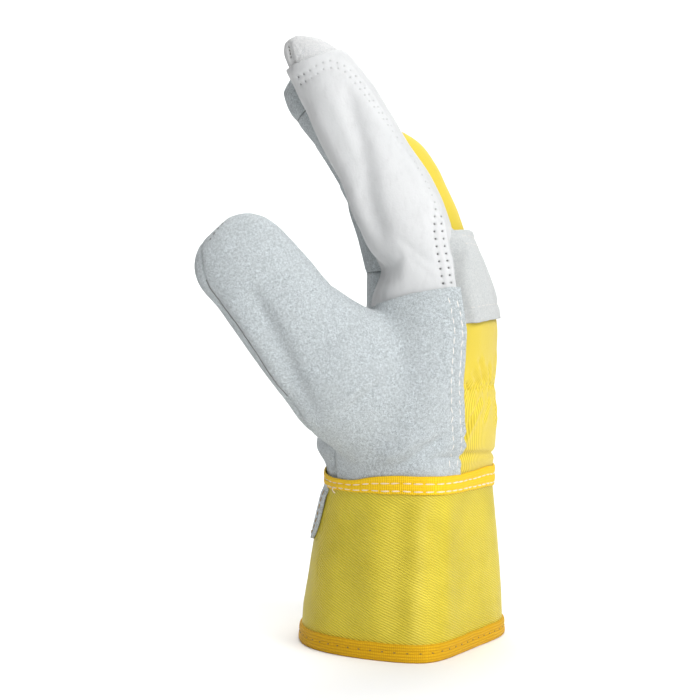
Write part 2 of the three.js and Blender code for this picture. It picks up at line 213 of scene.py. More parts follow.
# Soft folds on the thumb side: depth below the surface (a ridge where negative), half width, line of x and z
FOLDS = {
    "index leather's long valley": (1.4, 4.0, (
        (-27, 236), (-23, 225.7), (-21, 218.4), (-18.2, 209.2), (-16.1, 199.5), (-15.2, 188),
        (-12.1, 176.5), (-8.9, 168), (-8.6, 161),
    )),
    "crease from the notch": (0.4, 2.2, ((-14, 158.5), (-9.5, 159), (-5.5, 161), (-1, 164))),
    "upper slanting crease": (0.3, 1.4, ((-5, 171.5), (2, 166), (11, 158))),
    "lower slanting crease": (0.25, 1.4, ((-1, 164), (5, 159), (12, 152))),
    "ridge left of the index's valley": (-1.3, 3.0, (
        (-40.4, 229), (-34.5, 217), (-27.3, 202.5), (-22.2, 191), (-19.6, 182.2), (-15.4, 172.5),
        (-12, 165),
    )),
    "seam of the index fingertip": (1.1, 1.0, ((-48.2, 252), (-47.6, 248.5), (-46.8, 242), (-46, 238))),
    "thumb's long valley": (2.2, 3.5, (
        (-64, 153), (-58, 141.5), (-53.6, 133.5), (-49.7, 126), (-46.1, 118.4), (-43.3, 110.9),
        (-38.5, 102.9), (-33, 96),
    )),
    "ridge beside the thumb's seam": (-1.1, 2.6, (
        (-73, 152), (-71, 145), (-66, 137), (-60, 128), (-55, 119), (-50, 110), (-44, 101),
    )),
    "ball of the thumb": (-1.6, 13.0, ((-30, 128), (-22, 118), (-14, 108))),
    "fold above the tape": (2.0, 2.4, (
        (18.5, 91.5), (13.8, 88), (9.2, 84.8), (3.2, 80.2), (-4, 76.4), (-12, 74.8),
    )),
    "ridge down the canvas": (-0.7, 1.5, (
        (33, 107), (31.5, 103.9), (29.3, 99.1), (27.3, 92.6), (25.8, 87.3), (25, 83),
    )),
    "roll above the tape's fold": (-1.2, 3.6, ((12, 93), (5, 89), (-3, 84), (-12, 80.5))),
}

# Rows of stitches and needle holes where the picture shows them, in its pixels
SEEN = {
    "panel_edge": (
        (456.5, 299), (460.8, 315), (462.8, 330), (461.4, 351), (459.3, 380), (459.8, 409),
        (461.8, 446), (457.5, 461), (457.5, 468),
    ),
    "panel_inner": (
        (448, 296), (452.5, 315), (454.7, 330), (453.3, 351), (451.3, 380), (451.7, 409), (453.5, 446),
        (449.5, 461), (449.5, 469),
    ),
    "leather_edge": (
        (298, 77.4), (305.2, 73.4), (311.7, 69.2), (319, 63.5), (330.5, 60.6), (337.1, 62.9),
        (343.9, 66.1), (351.3, 71.5), (361.7, 85.1), (373.5, 101.4), (392, 127), (415.9, 160.1),
        (424.9, 174.5), (432.8, 189.7), (440.4, 205.5), (441.3, 227), (444.6, 245.7), (448.4, 267.9),
        (451.3, 282.5),
    ),
    "leather_inner": (
        (299.9, 84.5), (307.9, 79.7), (314.9, 75.7), (322.8, 69.2), (334.9, 67), (344.9, 72.1),
        (353.4, 81.7), (365.6, 96.6), (379.3, 113.8), (393.6, 133.1), (408.3, 152.2), (421, 174.4),
        (429.3, 189.7), (435.5, 205.5), (434.5, 218.3), (434.6, 231.4), (437.6, 252.5), (442.9, 283.3),
    ),
    "cap_seam": ((288.8, 46), (290, 52), (291.4, 59)),
    "thumb_seam": ((224.5, 221.5), (220.2, 225.8), (215.6, 231.6), (211.6, 236.8), (209, 242)),
}

# Which piece lies over which at a seam, or whether both turn inwards there
SEAMS = [
    ("thumb_panel", "index_front", "over"),
    ("thumb_panel", "index_back", "over"),
    ("thumb_panel", "hand_back", "over"),
    ("thumb_panel", "palm", "turned"),
    ("index_front", "index_tip", "over"),
    ("index_back", "index_tip", "over"),
    ("index_front", "index_back", "over"),
    ("index_front", "palm", "over"),
    ("index_back", "hand_back", "over"),
    ("palm", "hand_back", "turned"),
]
OTHER_FINGERS = ("middle", "ring", "little")
for front, back, tip in [[f"{name}_{part}" for part in ("front", "back", "tip")] for name in OTHER_FINGERS]:
    SEAMS += [
        (front, back, "turned"),
        (tip, back, "over"),
        (tip, front, "turned"),
        (front, "palm", "turned"),
        (back, "hand_back", "over"),
    ]
WORN_OVER = ("cuff", "hem_binding", "wrist_tape", "pulse_patch", "knuckle_strap")
SHELL = sorted(set(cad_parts) - set(WORN_OVER))
CANVAS_PIECES = ("hand_back", "middle_back", "ring_back", "little_back")
GRAIN_PIECES = ("index_front", "index_back")

VOXEL = 0.9
HAND_SIDES = 72
DIGIT_SIDES = 44
DIGIT_POWERS = (2.15, 2.15)  # a little squarer than round
SNAP = 0.12  # a cut that crosses an edge nearer to one end than this share goes through that end
FEWEST_FACES = 150  # islands of fewer faces are crumbs of a cut
LAP = 5.0  # how far a piece runs under the one that is sewn over it
SEAM_REACH = 8.0  # how far from a seam the layers still rise or sink
LIFT = 0.7  # how far the upper layer stands above the form along its edge
GROOVE = 1.3  # depth of a turned seam
GROOVE_WIDTH = 1.5
FAR = 20.0  # distances are not worked out past this


def length_of(name, description, millimetres):
    return bpy.props.FloatProperty(
        name=name, description=description, default=millimetres * MM, unit="LENGTH")


def colour_of(name, description, *default):
    return bpy.props.FloatVectorProperty(
        name=name, description=description, subtype="COLOR", default=default, max=1.0)


class GloveSizes(bpy.types.PropertyGroup):
    """Thicknesses and stitches of the glove."""

    leather: length_of("Leather", "Thickness of the suede and grain leather", 1.5)
    strap: length_of("Strap", "Thickness of the knuckle strap and of the pulse patch", 1.3)
    canvas: length_of("Canvas", "Thickness of the canvas", 0.9)
    cuff: length_of("Cuff", "Thickness of the rubberised cuff", 1.5)
    thread: length_of("Thread", "Diameter of the sewing thread", 0.6)
    stitch: length_of("Stitch", "From one needle hole to the next in the index finger and the strap", 3.1)
    panel_stitch: length_of("Panel stitch", "From one needle hole to the next along the thumb panel", 4.1)
    tape_stitch: length_of("Tape stitch", "From one needle hole to the next in the wrist tape", 4.7)


class GloveColours(bpy.types.PropertyGroup):
    """Colours of the glove's materials."""

    suede: colour_of("Suede", "Grey split leather", 0.54, 0.585, 0.602)
    pale_suede: colour_of("Pale suede", "Split leather of the index fingertip", 0.68, 0.68, 0.676)
    strap: colour_of("Strap", "Split leather of the knuckle strap", 0.557, 0.571, 0.562)
    grain: colour_of("Grain leather", "Smooth leather of the index finger", 0.525, 0.532, 0.537)
    canvas: colour_of("Canvas", "Yellow cotton drill", 0.70, 0.555, 0.055)
    coated: colour_of("Rubberised canvas", "Yellow-green twill of the cuff", 0.65, 0.53, 0.042)
    tape: colour_of("Tape", "Orange-yellow woven tape", 0.90, 0.60, 0.014)
    binding: colour_of("Binding", "Orange tape that binds the hem", 0.655, 0.385, 0.003)
    thread: colour_of("Thread", "White sewing thread", 0.86, 0.84, 0.80)


def size_of(name):
    """One of the panel's sizes, in millimetres."""
    return getattr(bpy.context.scene.glove_sizes, name) / MM


# Curves, rings and lofts


def signed_power(value, exponent):
    return np.sign(value) * np.abs(value) ** exponent


def smooth_step(value):
    """From 0 to 1 as the value goes from 0 to 1, level at both ends."""
    held = np.clip(value, 0.0, 1.0)
    return held * held * (3.0 - 2.0 * held)


def bell(distance, width):
    return np.exp(-((distance / width) ** 2))


def oval_ring(middle, back, half_sizes, powers, sides):
    """Points round an oval. The first is on the thumb side, and they go on towards the back."""
    angle = np.arange(sides) * (2 * math.pi / sides)
    deep = signed_power(np.sin(angle), 2 / powers[0]) * half_sizes[0]
    wide = signed_power(np.cos(angle), 2 / powers[1]) * half_sizes[1]
    return np.array(middle, float) + np.outer(deep, back) - np.outer(wide, (0, 1, 0))


def reach_along(points):
    """How far along a line of points each of them is."""
    return np.concatenate([[0], np.cumsum(np.linalg.norm(np.diff(points, axis=0), axis=1))])


def at_reach(points, reach):
    """The places that are so far along a line of points."""
    along = reach_along(points)
    return np.stack([np.interp(reach, along, column) for column in points.T], axis=1)


def even_steps(points, pitch):
    """Points along a line of points at even steps close to the pitch."""
    length = reach_along(points)[-1]
    return at_reach(points, np.linspace(0, length, max(2, round(length / pitch) + 1)))


def closed_line(ring):
    """A ring's points with the first one again at the end."""
    return np.vstack([ring, ring[:1]])


def closed_curve(corners, count):
    """Points at even steps along a smooth closed curve through the corners."""
    before, after, last = (np.roll(corners, shift, axis=0) for shift in (1, -1, -2))
    steps = [np.sqrt(np.linalg.norm(b - a, axis=1))[:, None] for a, b in
             ((before, corners), (corners, after), (after, last))]
    start = ((corners - before) / steps[0] - (after - before) / (steps[0] + steps[1])
             + (after - corners) / steps[1]) * steps[1]
    end = ((after - corners) / steps[1] - (last - corners) / (steps[1] + steps[2])
           + (last - after) / steps[2]) * steps[1]
    share = np.arange(40)[None, :, None] / 40
    a, b, m, n = (x[:, None, :] for x in (corners, after, start, end))
    dense = ((2 * share**3 - 3 * share**2 + 1) * a + (share**3 - 2 * share**2 + share) * m
             + (3 * share**2 - 2 * share**3) * b + (share**3 - share**2) * n).reshape(-1, corners.shape[1])
    dense = closed_line(dense)
    return at_reach(dense, np.arange(count) / count * reach_along(dense)[-1])


def cuff_ring(z, grow, sides):
    """A level ring of the cuff, grown outwards, from the fold on the thumb side towards the back."""
    spread = np.interp(z, CUFF_SPREAD.z, CUFF_SPREAD.spread)
    x = CUFF_OUTLINE.wrist_x + (CUFF_OUTLINE.hem_x - CUFF_OUTLINE.wrist_x) * spread
    y = CUFF_OUTLINE.wrist_y + (CUFF_OUTLINE.hem_y - CUFF_OUTLINE.wrist_y) * spread
    ring = closed_curve(np.stack([x, y], axis=1), sides)
    reach = sides // 66
    for _ in range(3):
        ring = (np.roll(ring, reach, axis=0) + ring + np.roll(ring, -reach, axis=0)) / 3
    tangent = np.roll(ring, -1, axis=0) - np.roll(ring, 1, axis=0)
    tangent /= np.linalg.norm(tangent, axis=1)[:, None]
    ring = ring + np.stack([tangent[:, 1], -tangent[:, 0]], axis=1) * grow
    return np.column_stack([ring, np.full(sides, z)])


def level_rings(rows, grow):
    """The rings of a table of level sections."""
    return [
        oval_ring((x, 0, z), (1, 0, 0), (deep + grow, wide + 1.2 * grow), powers, HAND_SIDES)
        for z, x, deep, wide, *powers in zip(*vars(rows).values())
    ]


def digit_rings(rows):
    """The rings of a thumb or finger, each square to the way that the digit runs."""
    middles = np.stack([rows.x, rows.y, rows.z], axis=1)
    last = len(middles) - 1
    rings = []
    for i, middle in enumerate(middles):
        along = middles[min(i + 1, last)] - middles[max(i - 1, 0)]
        along[1] = 0
        along /= np.linalg.norm(along)
        back = (along[2], 0, -along[0])
        rings.append(oval_ring(middle, back, (rows.deep[i], rows.wide[i]), DIGIT_POWERS, DIGIT_SIDES))
    return rings


def denser(rings, steps=4):
    """Smooth rings through the given ones."""
    rings = np.array(rings)
    padded = np.concatenate([2 * rings[:1] - rings[1:2], rings, 2 * rings[-1:] - rings[-2:-1]])
    found = []
    for a, b, c, d in zip(padded, padded[1:], padded[2:], padded[3:]):
        for u in np.arange(steps) / steps:
            found.append(0.5 * (2 * b + (c - a) * u + (2 * a - 5 * b + 4 * c - d) * u**2
                                + (3 * b - a - 3 * c + d) * u**3))
    return found + [rings[-1]]


def loft(bm, rings, closed=False):
    """Faces from ring to ring. The ends are filled, or joined to each other on a closed band."""
    loops = []
    for ring in rings:
        verts = bmesh.ops.create_circle(bm, segments=len(ring), radius=1)["verts"]
        for vert, point in zip(verts, ring):
            vert.co = point
        loops.append((verts, list(dict.fromkeys(edge for vert in verts for edge in vert.link_edges))))
    pairs = list(zip(loops, loops[1:])) + ([(loops[-1], loops[0])] if closed else [])
    for (_, low), (_, high) in pairs:
        bmesh.ops.bridge_loops(bm, edges=low + high)
    if not closed:
        for _, edges in (loops[0], loops[-1]):
            bmesh.ops.edgeloop_fill(bm, edges=edges)
    return [verts for verts, _ in loops]


# The filled glove as one smooth form, and its distance from each piece of the frame


def linked(name, data):
    """A new object of the scene that holds a mesh, a lamp or a camera."""
    thing = bpy.data.objects.new(name, data)
    bpy.context.scene.collection.objects.link(thing)
    return thing


def voxel_mesh(tubes):
    """The outside of the closed tubes taken together, as an even mesh."""
    bm = bmesh.new()
    for rings in tubes:
        loft(bm, rings)
    bmesh.ops.recalc_face_normals(bm, faces=bm.faces)
    mesh = bpy.data.meshes.new("form")
    bm.to_mesh(mesh)
    bm.free()
    holder = linked("form", mesh)
    remesh = holder.modifiers.new("Remesh", "REMESH")
    remesh.mode = "VOXEL"
    remesh.voxel_size = VOXEL
    depsgraph = bpy.context.evaluated_depsgraph_get()
    found = bpy.data.meshes.new_from_object(holder.evaluated_get(depsgraph))
    bpy.data.objects.remove(holder)
    bpy.data.meshes.remove(mesh)
    return found


def read(items, name, width, kind=float):
    """One property of every item, as an array with a row for each of them."""
    found = np.zeros(len(items) * width, kind)
    items.foreach_get(name, found)
    return found.reshape(-1, width)


def positions(mesh):
    return read(mesh.vertices, "co", 3)


def edge_ends(mesh):
    return read(mesh.edges, "vertices", 2, int)


def reshape(mesh, points):
    """Moves a mesh to new points, and gives its new directions outwards."""
    mesh.vertices.foreach_set("co", points.ravel())
    mesh.update()
    return read(mesh.vertex_normals, "vector", 3)


def search_tree(mesh, matrix=Matrix()):
    """A search tree of a mesh that a matrix moves."""
    bm = bmesh.new()
    bm.from_mesh(mesh)
    bmesh.ops.transform(bm, matrix=matrix, verts=bm.verts)
    tree = BVHTree.FromBMesh(bm)
    bm.free()
    return tree


def relaxed(points, ends, rounds, share=0.5):
    """The points moved towards the mean of their neighbours. The share may differ by point."""
    size = len(points)
    share = np.broadcast_to(share, (size,))[:, None]
    first, second = ends.T
    counts = np.bincount(ends.ravel(), minlength=size)[:, None]
    for _ in range(rounds):
        total = np.stack(
            [np.bincount(first, column[second], size) + np.bincount(second, column[first], size)
             for column in points.T], axis=1)
        points = points + (total / counts - points) * share
    return points


def near_line(points, line):
    """The distance from each point to a line of points in the same plane, and the share along the line."""
    line = np.array(line, float)
    best = np.full(len(points), 1e9)
    share = np.zeros(len(points))
    along = reach_along(line)
    for i, (a, b) in enumerate(zip(line, line[1:])):
        t = np.clip(((points - a) @ (b - a)) / ((b - a) @ (b - a)), 0, 1)
        distance = np.linalg.norm(points - a - np.outer(t, b - a), axis=1)
        closer = distance < best
        best = np.where(closer, distance, best)
        share = np.where(closer, (along[i] + t * (along[i + 1] - along[i])) / along[-1], share)
    return best, share


def noise_at(points, size, seed=0.0):
    """Smooth noise from about -1 to 1 at each point, with features of a size in millimetres."""
    offset = Vector((seed * 17.3, seed * 5.1, seed * 9.7))
    return np.array([noise.noise(Vector(point) / size + offset) for point in points])


def fold_heights(points, normals):
    """How far the folds of the thumb side raise the surface."""
    height = np.zeros(len(points))
    facing = smooth_step((-normals[:, 1] - 0.05) / 0.3)
    for depth, width, line in FOLDS.values():
        distance, share = near_line(points[:, [0, 2]], line)
        fade = smooth_step(np.minimum(share, 1 - share) * 5)
        height -= depth * bell(distance, width) * fade * facing
    return height


# The elastic across the canvas back: its height, its zigzag's pitch and swing, its dents and its ruffles
GATHER = SimpleNamespace(z=109.6, pitch=5.2, swing=1.7, dent=1.2, wide=0.65, ruffle=0.28, reach=8.0)

# Creases that run out from the elastic: round the back from its middle, and up
CREASES = table(
    "start_across start_z end_across end_z depth",
    (-43, 117, -38, 110.6, 0.8),
    (-39.5, 123, -33, 112, 1.1),
    (-31, 121, -26, 110.6, 1.0),
    (-33, 106.5, -38, 100, 1.0),
    (-37.5, 101, -45, 88, 1.2),
    (-24, 107, -29, 96, 0.8),
    (-20, 126, -16, 111, 0.9),
    (-16, 107, -13, 93, 0.9),
    (-9.5, 121, -9, 110, 0.7),
    (-6, 108, -10, 98, 0.7),
    (0, 128, 3, 111, 1.0),
    (4, 107, 8, 91, 1.0),
    (9, 119, 11, 110, 0.7),
    (13, 108, 11, 98, 0.7),
    (19, 125, 16, 111, 1.0),
    (21, 107, 27, 94, 0.9),
    (28, 120, 25, 110, 0.8),
    (31, 107, 29, 97, 0.7),
    (38, 124, 33, 111, 1.0),
    (41, 106, 46, 92, 0.9),
)


def across_back(points):
    """How far round the back of the hand each point is from its middle line."""
    return 42 * np.arctan2(points[:, 1] / 50, (points[:, 0] - 11) / 30)


def elastic_wave(points):
    """The turn of the elastic's zigzag at each point, and how far above the zigzag the point is."""
    across = across_back(points)
    high = points[:, 2]
    spread = np.column_stack([across, high * 0.25, high * 0])
    wave = across * (2 * math.pi / GATHER.pitch) + 1.6 * noise_at(spread, 9.0, 3)
    return wave, high - GATHER.z - GATHER.swing * np.arcsin(np.sin(wave)) * (2 / math.pi)


def gather_heights(points, normals):
    """The ruffles and creases on both sides of the elastic, and the roll above the tape."""
    facing = smooth_step((normals[:, 0] - 0.12) / 0.3)
    high = points[:, 2]
    wave, above = elastic_wave(points)
    height = -0.5 * bell(high - GATHER.z, 6.0)
    ruffles = GATHER.ruffle * np.sin(wave + above * 0.22) * bell(above, GATHER.reach)
    height += ruffles * smooth_step(np.abs(above) / 2)
    # A roll over the tape, and a waving fold above it
    height += 0.5 * bell(high - 77.4, 1.8) - 1.2 * bell(high - 80.6 - 0.5 * np.sin(points[:, 1] * 0.16), 1.4)
    near = np.nonzero((facing > 0) & (np.abs(high - 108) < 28))[0]
    flat = np.column_stack([across_back(points[near]), high[near]])
    for row in zip(*vars(CREASES).values()):
        distance, share = near_line(flat, (row[:2], row[2:4]))
        fade = smooth_step(share * 3) * smooth_step((1.15 - share) * 4)
        height[near] -= row[4] * (bell(distance, 1.3) - 0.5 * bell(distance - 2.3, 1.5)) * fade
    return facing * height


def dent_elastic(bm):
    """The short sharp dents that the elastic's zigzag sews into the canvas."""

    def beside_elastic(vert):
        return abs(vert.co.z - GATHER.z) < GATHER.swing + 3 * GATHER.wide and vert.co.x > 18

    near = [edge for edge in bm.edges if beside_elastic(edge.verts[0])]
    bmesh.ops.subdivide_edges(bm, edges=near, cuts=1, use_grid_fill=True)
    bm.normal_update()
    verts = [vert for vert in bm.verts if beside_elastic(vert)]
    wave, above = elastic_wave(np.array([vert.co for vert in verts]))
    depth = GATHER.dent * bell(above, GATHER.wide) * (0.45 + 0.55 * smooth_step(0.5 - 0.9 * np.cos(wave)))
    for vert, normal, amount in [(v, v.normal.copy(), float(d)) for v, d in zip(verts, depth)]:
        vert.co -= normal * amount


@functools.cache
def cad_tree(node):
    """A search tree of a CAD node, in millimetres from the middle of the cuff."""
    return search_tree(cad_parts[node].data, TO_GLOVE)


def distances_to(node, points):
    """The distance from each point to a CAD node, up to FAR."""
    low, high = (np.array(TO_GLOVE @ corner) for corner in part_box(node))
    inside = np.all((points > low - FAR) & (points < high + FAR), axis=1)
    found = np.full(len(points), FAR)
    tree = cad_tree(node)
    for i in np.nonzero(inside)[0]:
        distance = tree.find_nearest(points[i], FAR)[3]
        if distance is not None:
            found[i] = distance
    return found


def piece_distances(nodes, points):
    """The distances to CAD nodes. The seam of thumb panel and palm is moved from where the solids have it."""
    found = {node: distances_to(node, points) for node in nodes}
    if "thumb_panel" in found and "palm" in found:
        x, _, z = points.T
        # Into the crotch
        shift = 14 * smooth_step((x + 34) / 12) * (1 - smooth_step((x - 1) / 3))
        shift *= smooth_step((z - 112) / 10) * (1 - smooth_step((z - 150) / 6))
        # Towards the camera down the thumb's outer side
        outer = -0.73 * (x + 22.4) - 0.68 * (z - 113.6)
        shift -= 7 * smooth_step((outer - 4) / 8) * smooth_step((-x - 34) / 8)
        either = np.minimum(found["thumb_panel"], found["palm"])
        beyond = found["thumb_panel"] - found["palm"] - shift
        found["thumb_panel"] = either + np.maximum(beyond, 0)
        found["palm"] = either + np.maximum(-beyond, 0)
    return found


def prepared(mesh, points, rest):
    """A form's mesh with its points, its unfolded points and its outward directions kept on it."""
    out = reshape(mesh, points)
    for name, values in (("rest", rest), ("out", out)):
        mesh.attributes.new(name, "FLOAT_VECTOR", "POINT").data.foreach_set("vector", values.ravel())
    return mesh


# Where the palm side of the index finger is pinched in above the crotch
NOTCH = SimpleNamespace(z=158.4, depth=4.6, above=5.0, below=8.5)


@functools.cache
def hand_form():
    """The hand, thumb and fingers from the tape up, with their folds, and the distances to the pieces."""
    wrist = [cuff_ring(z, 0, HAND_SIDES) for z in (WRIST_LOW, TAPE_LOW, TAPE_HIGH)]
    tubes = [denser(wrist + level_rings(HAND, 0))]
    tubes += [denser(digit_rings(rows)) for rows in DIGITS]
    mesh = voxel_mesh(tubes)
    ends = edge_ends(mesh)
    rest = relaxed(positions(mesh), ends, 6)
    # The thumb's root is smoothed far more than the rest
    x, y, z = rest.T
    root = bell(np.hypot(x + 16, (z - 112) * 0.8), 36) * smooth_step((-y - 16) / 14)
    root *= smooth_step((z - 76) / 8)
    rest = relaxed(rest, ends, 110, share=0.6 * root)
    distances = piece_distances(SHELL, rest)
    out = relaxed(reshape(mesh, rest), ends, 4)
    x, y, z = rest.T
    height = fold_heights(rest, out) + gather_heights(rest, out)
    height += 0.35 * noise_at(rest, 26) + 0.16 * noise_at(rest, 9, 1)
    points = rest + out * (height * smooth_step((z - 73) / 8))[:, None]
    pinch = NOTCH.depth * bell(z - NOTCH.z, np.where(z > NOTCH.z, NOTCH.above, NOTCH.below))
    pinch *= smooth_step((2 - x) / 13)
    pinch *= smooth_step((x + 31) / 8)
    points[:, 0] += pinch * smooth_step((-20 - y) / 5)
    return SimpleNamespace(mesh=prepared(mesh, points, rest), distances=distances)


# Cutting pieces from the form


def trim(bm, layer):
    """Keeps the faces where the layer is under 0, cut along its zero line."""
    for edge in bm.edges:
        a, b = edge.verts
        if a[layer] * b[layer] < 0:
            share = a[layer] / (a[layer] - b[layer])
            if share < SNAP:
                a[layer] = 0
            elif share > 1 - SNAP:
                b[layer] = 0
    crossing = [edge for edge in bm.edges if edge.verts[0][layer] * edge.verts[1][layer] < 0]
    for edge in crossing:
        a, b = edge.verts
        _, vert = bmesh.utils.edge_split(edge, a, a[layer] / (a[layer] - b[layer]))
        vert[layer] = 0
    border = [vert for vert in bm.verts if vert[layer] == 0]
    bmesh.ops.connect_verts(bm, verts=border)
    beyond = [face for face in bm.faces if sum(vert[layer] for vert in face.verts) > 0]
    bmesh.ops.delete(bm, geom=beyond, context="FACES")


def drop_crumbs(bm):
    """Deletes the islands of few faces."""
    left, crumbs = set(bm.faces), []
    for first in bm.faces:
        island = [first] if first in left else []
        left.discard(first)
        for face in island:
            beside = [other for edge in face.edges for other in edge.link_faces if other in left]
            left.difference_update(beside)
            island += dict.fromkeys(beside)
        if len(island) < FEWEST_FACES:
            crumbs += island
    bmesh.ops.delete(bm, geom=crumbs, context="FACES")


def cut_from(form, field):
    """The part of a form where the field is under 0, as a bmesh cut along the field's zero line."""
    bm = bmesh.new()
    bm.from_mesh(form.mesh)
    layer = bm.verts.layers.float.new("field")
    for vert, value in zip(bm.verts, field):
        vert[layer] = value
    beyond = [face for face in bm.faces if all(vert[layer] > 0 for vert in face.verts)]
    bmesh.ops.delete(bm, geom=beyond, context="FACES")
    trim(bm, layer)
    drop_crumbs(bm)
    return bm


def relation(piece, other):
    """How a piece meets another one at their seam: over, under or turned, or None where they don't meet."""
    for upper, lower, kind in SEAMS:
        if (upper, lower) == (piece, other):
            return kind
        if (lower, upper) == (piece, other):
            return "under" if kind == "over" else kind
    return None


def piece_field(form, piece):
    """Under 0 on a piece and on what it lays under the pieces over it."""
    own = form.distances[piece]
    field = np.full(len(own), -FAR)
    rest = read(form.mesh.attributes["rest"].data, "vector", 3)
    past = past_leather_edge(rest)
    for other in SHELL:
        if other != piece:
            allowance = LAP if relation(piece, other) == "under" else -0.1
            away = own - form.distances[other] - allowance
            # Where the leather is trimmed along its edge on the strap, the canvas goes on under it
            if other in GRAIN_PIECES and piece in CANVAS_PIECES:
                away = np.where(past > -1, -FAR, away)
            field = np.maximum(field, away)
    if piece in GRAIN_PIECES:
        field = np.maximum(field, past)
    return uneven(field, rest, 3, 0.12, 2.2, 5)


def uneven(field, points, reach, ragged, size, seed):
    """A field whose zero line is made ragged by noise."""
    close = np.abs(field) < reach
    field[close] += ragged * noise_at(points[close], size, seed)
    return field


def leather_edge(z):
    """Where the index leather, and below it the thumb panel, end over the strap's near end."""
    return np.interp(z, (137, 147, 153, 160, 166, 176), (25.5, 22.5, 20.4, 20.2, 20.8, 21.6))


def past_leather_edge(points):
    """How far points are past the index leather's edge on the strap, under 0 on the leather."""
    x, y, z = points.T
    past = x - leather_edge(z) - 30 * smooth_step((z - 174.5) / 2.5)
    return np.where(y < -20, past, -FAR)


def thickness_of(piece):
    return size_of("canvas" if piece in CANVAS_PIECES else "leather")


# The pieces whose shared seams lie nearly flat
MIDDLE_SEAM = ("middle_front", "middle_tip", "palm")


def seam_heights(piece, rest):
    """How far a piece rises over, sinks under or turns in at its seams."""
    met = [other for other in SHELL if relation(piece, other)]
    distances = piece_distances([piece, *met], rest)
    rise, sink, turn = (np.zeros(len(rest)) for _ in range(3))
    x, y, z = rest.T
    for other in met:
        kind = relation(piece, other)
        inside = distances[other] - distances[piece]
        near = 1 - smooth_step(inside / SEAM_REACH)
        if kind == "over":
            rise = np.maximum(rise, LIFT * near)
        elif kind == "under":
            room = thickness_of(other) - LIFT + 0.08
            sink = np.minimum(sink, -room * near + 0.14 * np.minimum(inside, 0))
        else:
            on_thumb = smooth_step((-x - 34) / 14) if other in ("thumb_panel", "palm") else 0 * x
            on_middle = 0.75 * (other in MIDDLE_SEAM and piece in MIDDLE_SEAM)
            groove = GROOVE * (1 - 0.6 * on_thumb) * (1 - on_middle)
            turn = np.minimum(turn, -groove * bell(inside, GROOVE_WIDTH))
            pucker, size = (0.3, 3.6) if piece in CANVAS_PIECES else (0.16, 3.2)
            turn += pucker * noise_at(rest, size, 7) * bell(inside, 4.0)
    if piece in GRAIN_PIECES:
        rise = np.maximum(rise, LIFT * (1 - smooth_step(-past_leather_edge(rest) / SEAM_REACH)))
    if piece == "hand_back":
        covered = smooth_step((z - 137.5) / 3) * (1 - smooth_step((x - leather_edge(z) - 5) / 4)) * (y < -20)
        sink = np.minimum(sink, -2.4 * covered)
    return rise + sink + turn + row_heights(piece, rest)


# Rows sewn through each piece of the shell
ROWS = {
    "thumb_panel": ("panel_edge", "panel_inner"),
    "index_front": ("leather_edge", "leather_inner"),
    "index_back": ("leather_edge", "leather_inner"),
}


def seen_at(tree, column, line):
    """Where a pixel of the picture falls on a surface, or None."""
    return tree.ray_cast(EYE, Vector((column - MIDDLE_COLUMN, FOCAL, HORIZON - line)))[0]


def seen_on(tree, name, step=1.5):
    """Where a row of the picture falls on a surface, as close points in millimetres."""
    row = np.array(SEEN[name], float)
    reach = np.arange(0, reach_along(row)[-1] + step / 2, step)
    places = [seen_at(tree, *pixel) for pixel in at_reach(row, reach)]
    return np.array([place for place in places if place is not None])


def point_tree(points):
    tree = KDTree(len(points))
    for i, point in enumerate(points):
        tree.insert(point, i)
    tree.balance()
    return tree


def row_heights(piece, points):
    """How far the thread draws a piece in along its rows."""
    height = np.zeros(len(points))
    for name in ROWS.get(piece, ()):
        tree = point_tree(even_steps(seen_on(hand_tree(), name), 0.5))
        distance = np.array([tree.find(point)[2] for point in points])
        height -= 0.28 * bell(distance, 1.0)
    return height


def prick(bm, holes, radius=0.36, depth=0.7):
    """Pushes needle holes into a leather piece, fainter towards the finger's far end, and marks each hole
    where painted shade darkens the leather's colour.
    """
    surface = BVHTree.FromBMesh(bm)
    found = [surface.find_nearest(hole) for hole in holes]
    tree = point_tree([place for place, _, _, distance in found if distance < 1.2])
    near = [edge for edge in bm.edges if tree.find((edge.verts[0].co + edge.verts[1].co) / 2)[2] < 1.1]
    bmesh.ops.subdivide_edges(bm, edges=near, cuts=3, use_grid_fill=True)
    layer = bm.verts.layers.float.new("hole")
    bm.normal_update()
    for vert, normal, distance in [(vert, vert.normal.copy(), tree.find(vert.co)[2]) for vert in bm.verts]:
        clear = max(smooth_step((187 - vert.co.z) / 14), smooth_step((-38 - vert.co.x) / 5))
        plain = float(0.3 + 0.7 * clear)
        vert.co -= normal * plain * float(depth * bell(distance, radius) + 0.12 * bell(distance, 1.1))
        # The mark sets how strongly the colour is darkened there as painted shade in the hole
        vert[layer] = plain * float(1 - smooth_step((distance - 0.2) / 0.3))


def layer_array(bm, name):
    layer = bm.verts.layers.float_vector[name]
    return np.array([vert[layer] for vert in bm.verts])


def shell_piece(piece):
    """One piece of the hand's shell, cut from the form and layered over its neighbours."""
    form = hand_form()
    bm = cut_from(form, piece_field(form, piece))
    low = [face for face in bm.faces if face.calc_center_median().z < TAPE_LOW + 2]
    bmesh.ops.delete(bm, geom=low, context="FACES")
    rest, out = layer_array(bm, "rest"), layer_array(bm, "out")
    rise = seam_heights(piece, rest)
    out /= np.maximum(np.linalg.norm(out, axis=1)[:, None], 1e-6)
    for vert, shift in zip(bm.verts, out * rise[:, None]):
        vert.co += Vector(shift)
    if piece in GRAIN_PIECES:
        prick(bm, needle_holes())
    if piece == "hand_back":
        dent_elastic(bm)
    return bm


@functools.cache
def needle_holes():
    """The holes of both rows in the index leather."""
    rows = [seen_on(hand_tree(), name) for name in ROWS["index_front"]]
    return np.vstack([even_steps(row, size_of("stitch")) for row in rows])


@functools.cache
def hand_tree():
    """A search tree of the finished hand form."""
    return search_tree(hand_form().mesh)


# Objects in the frame


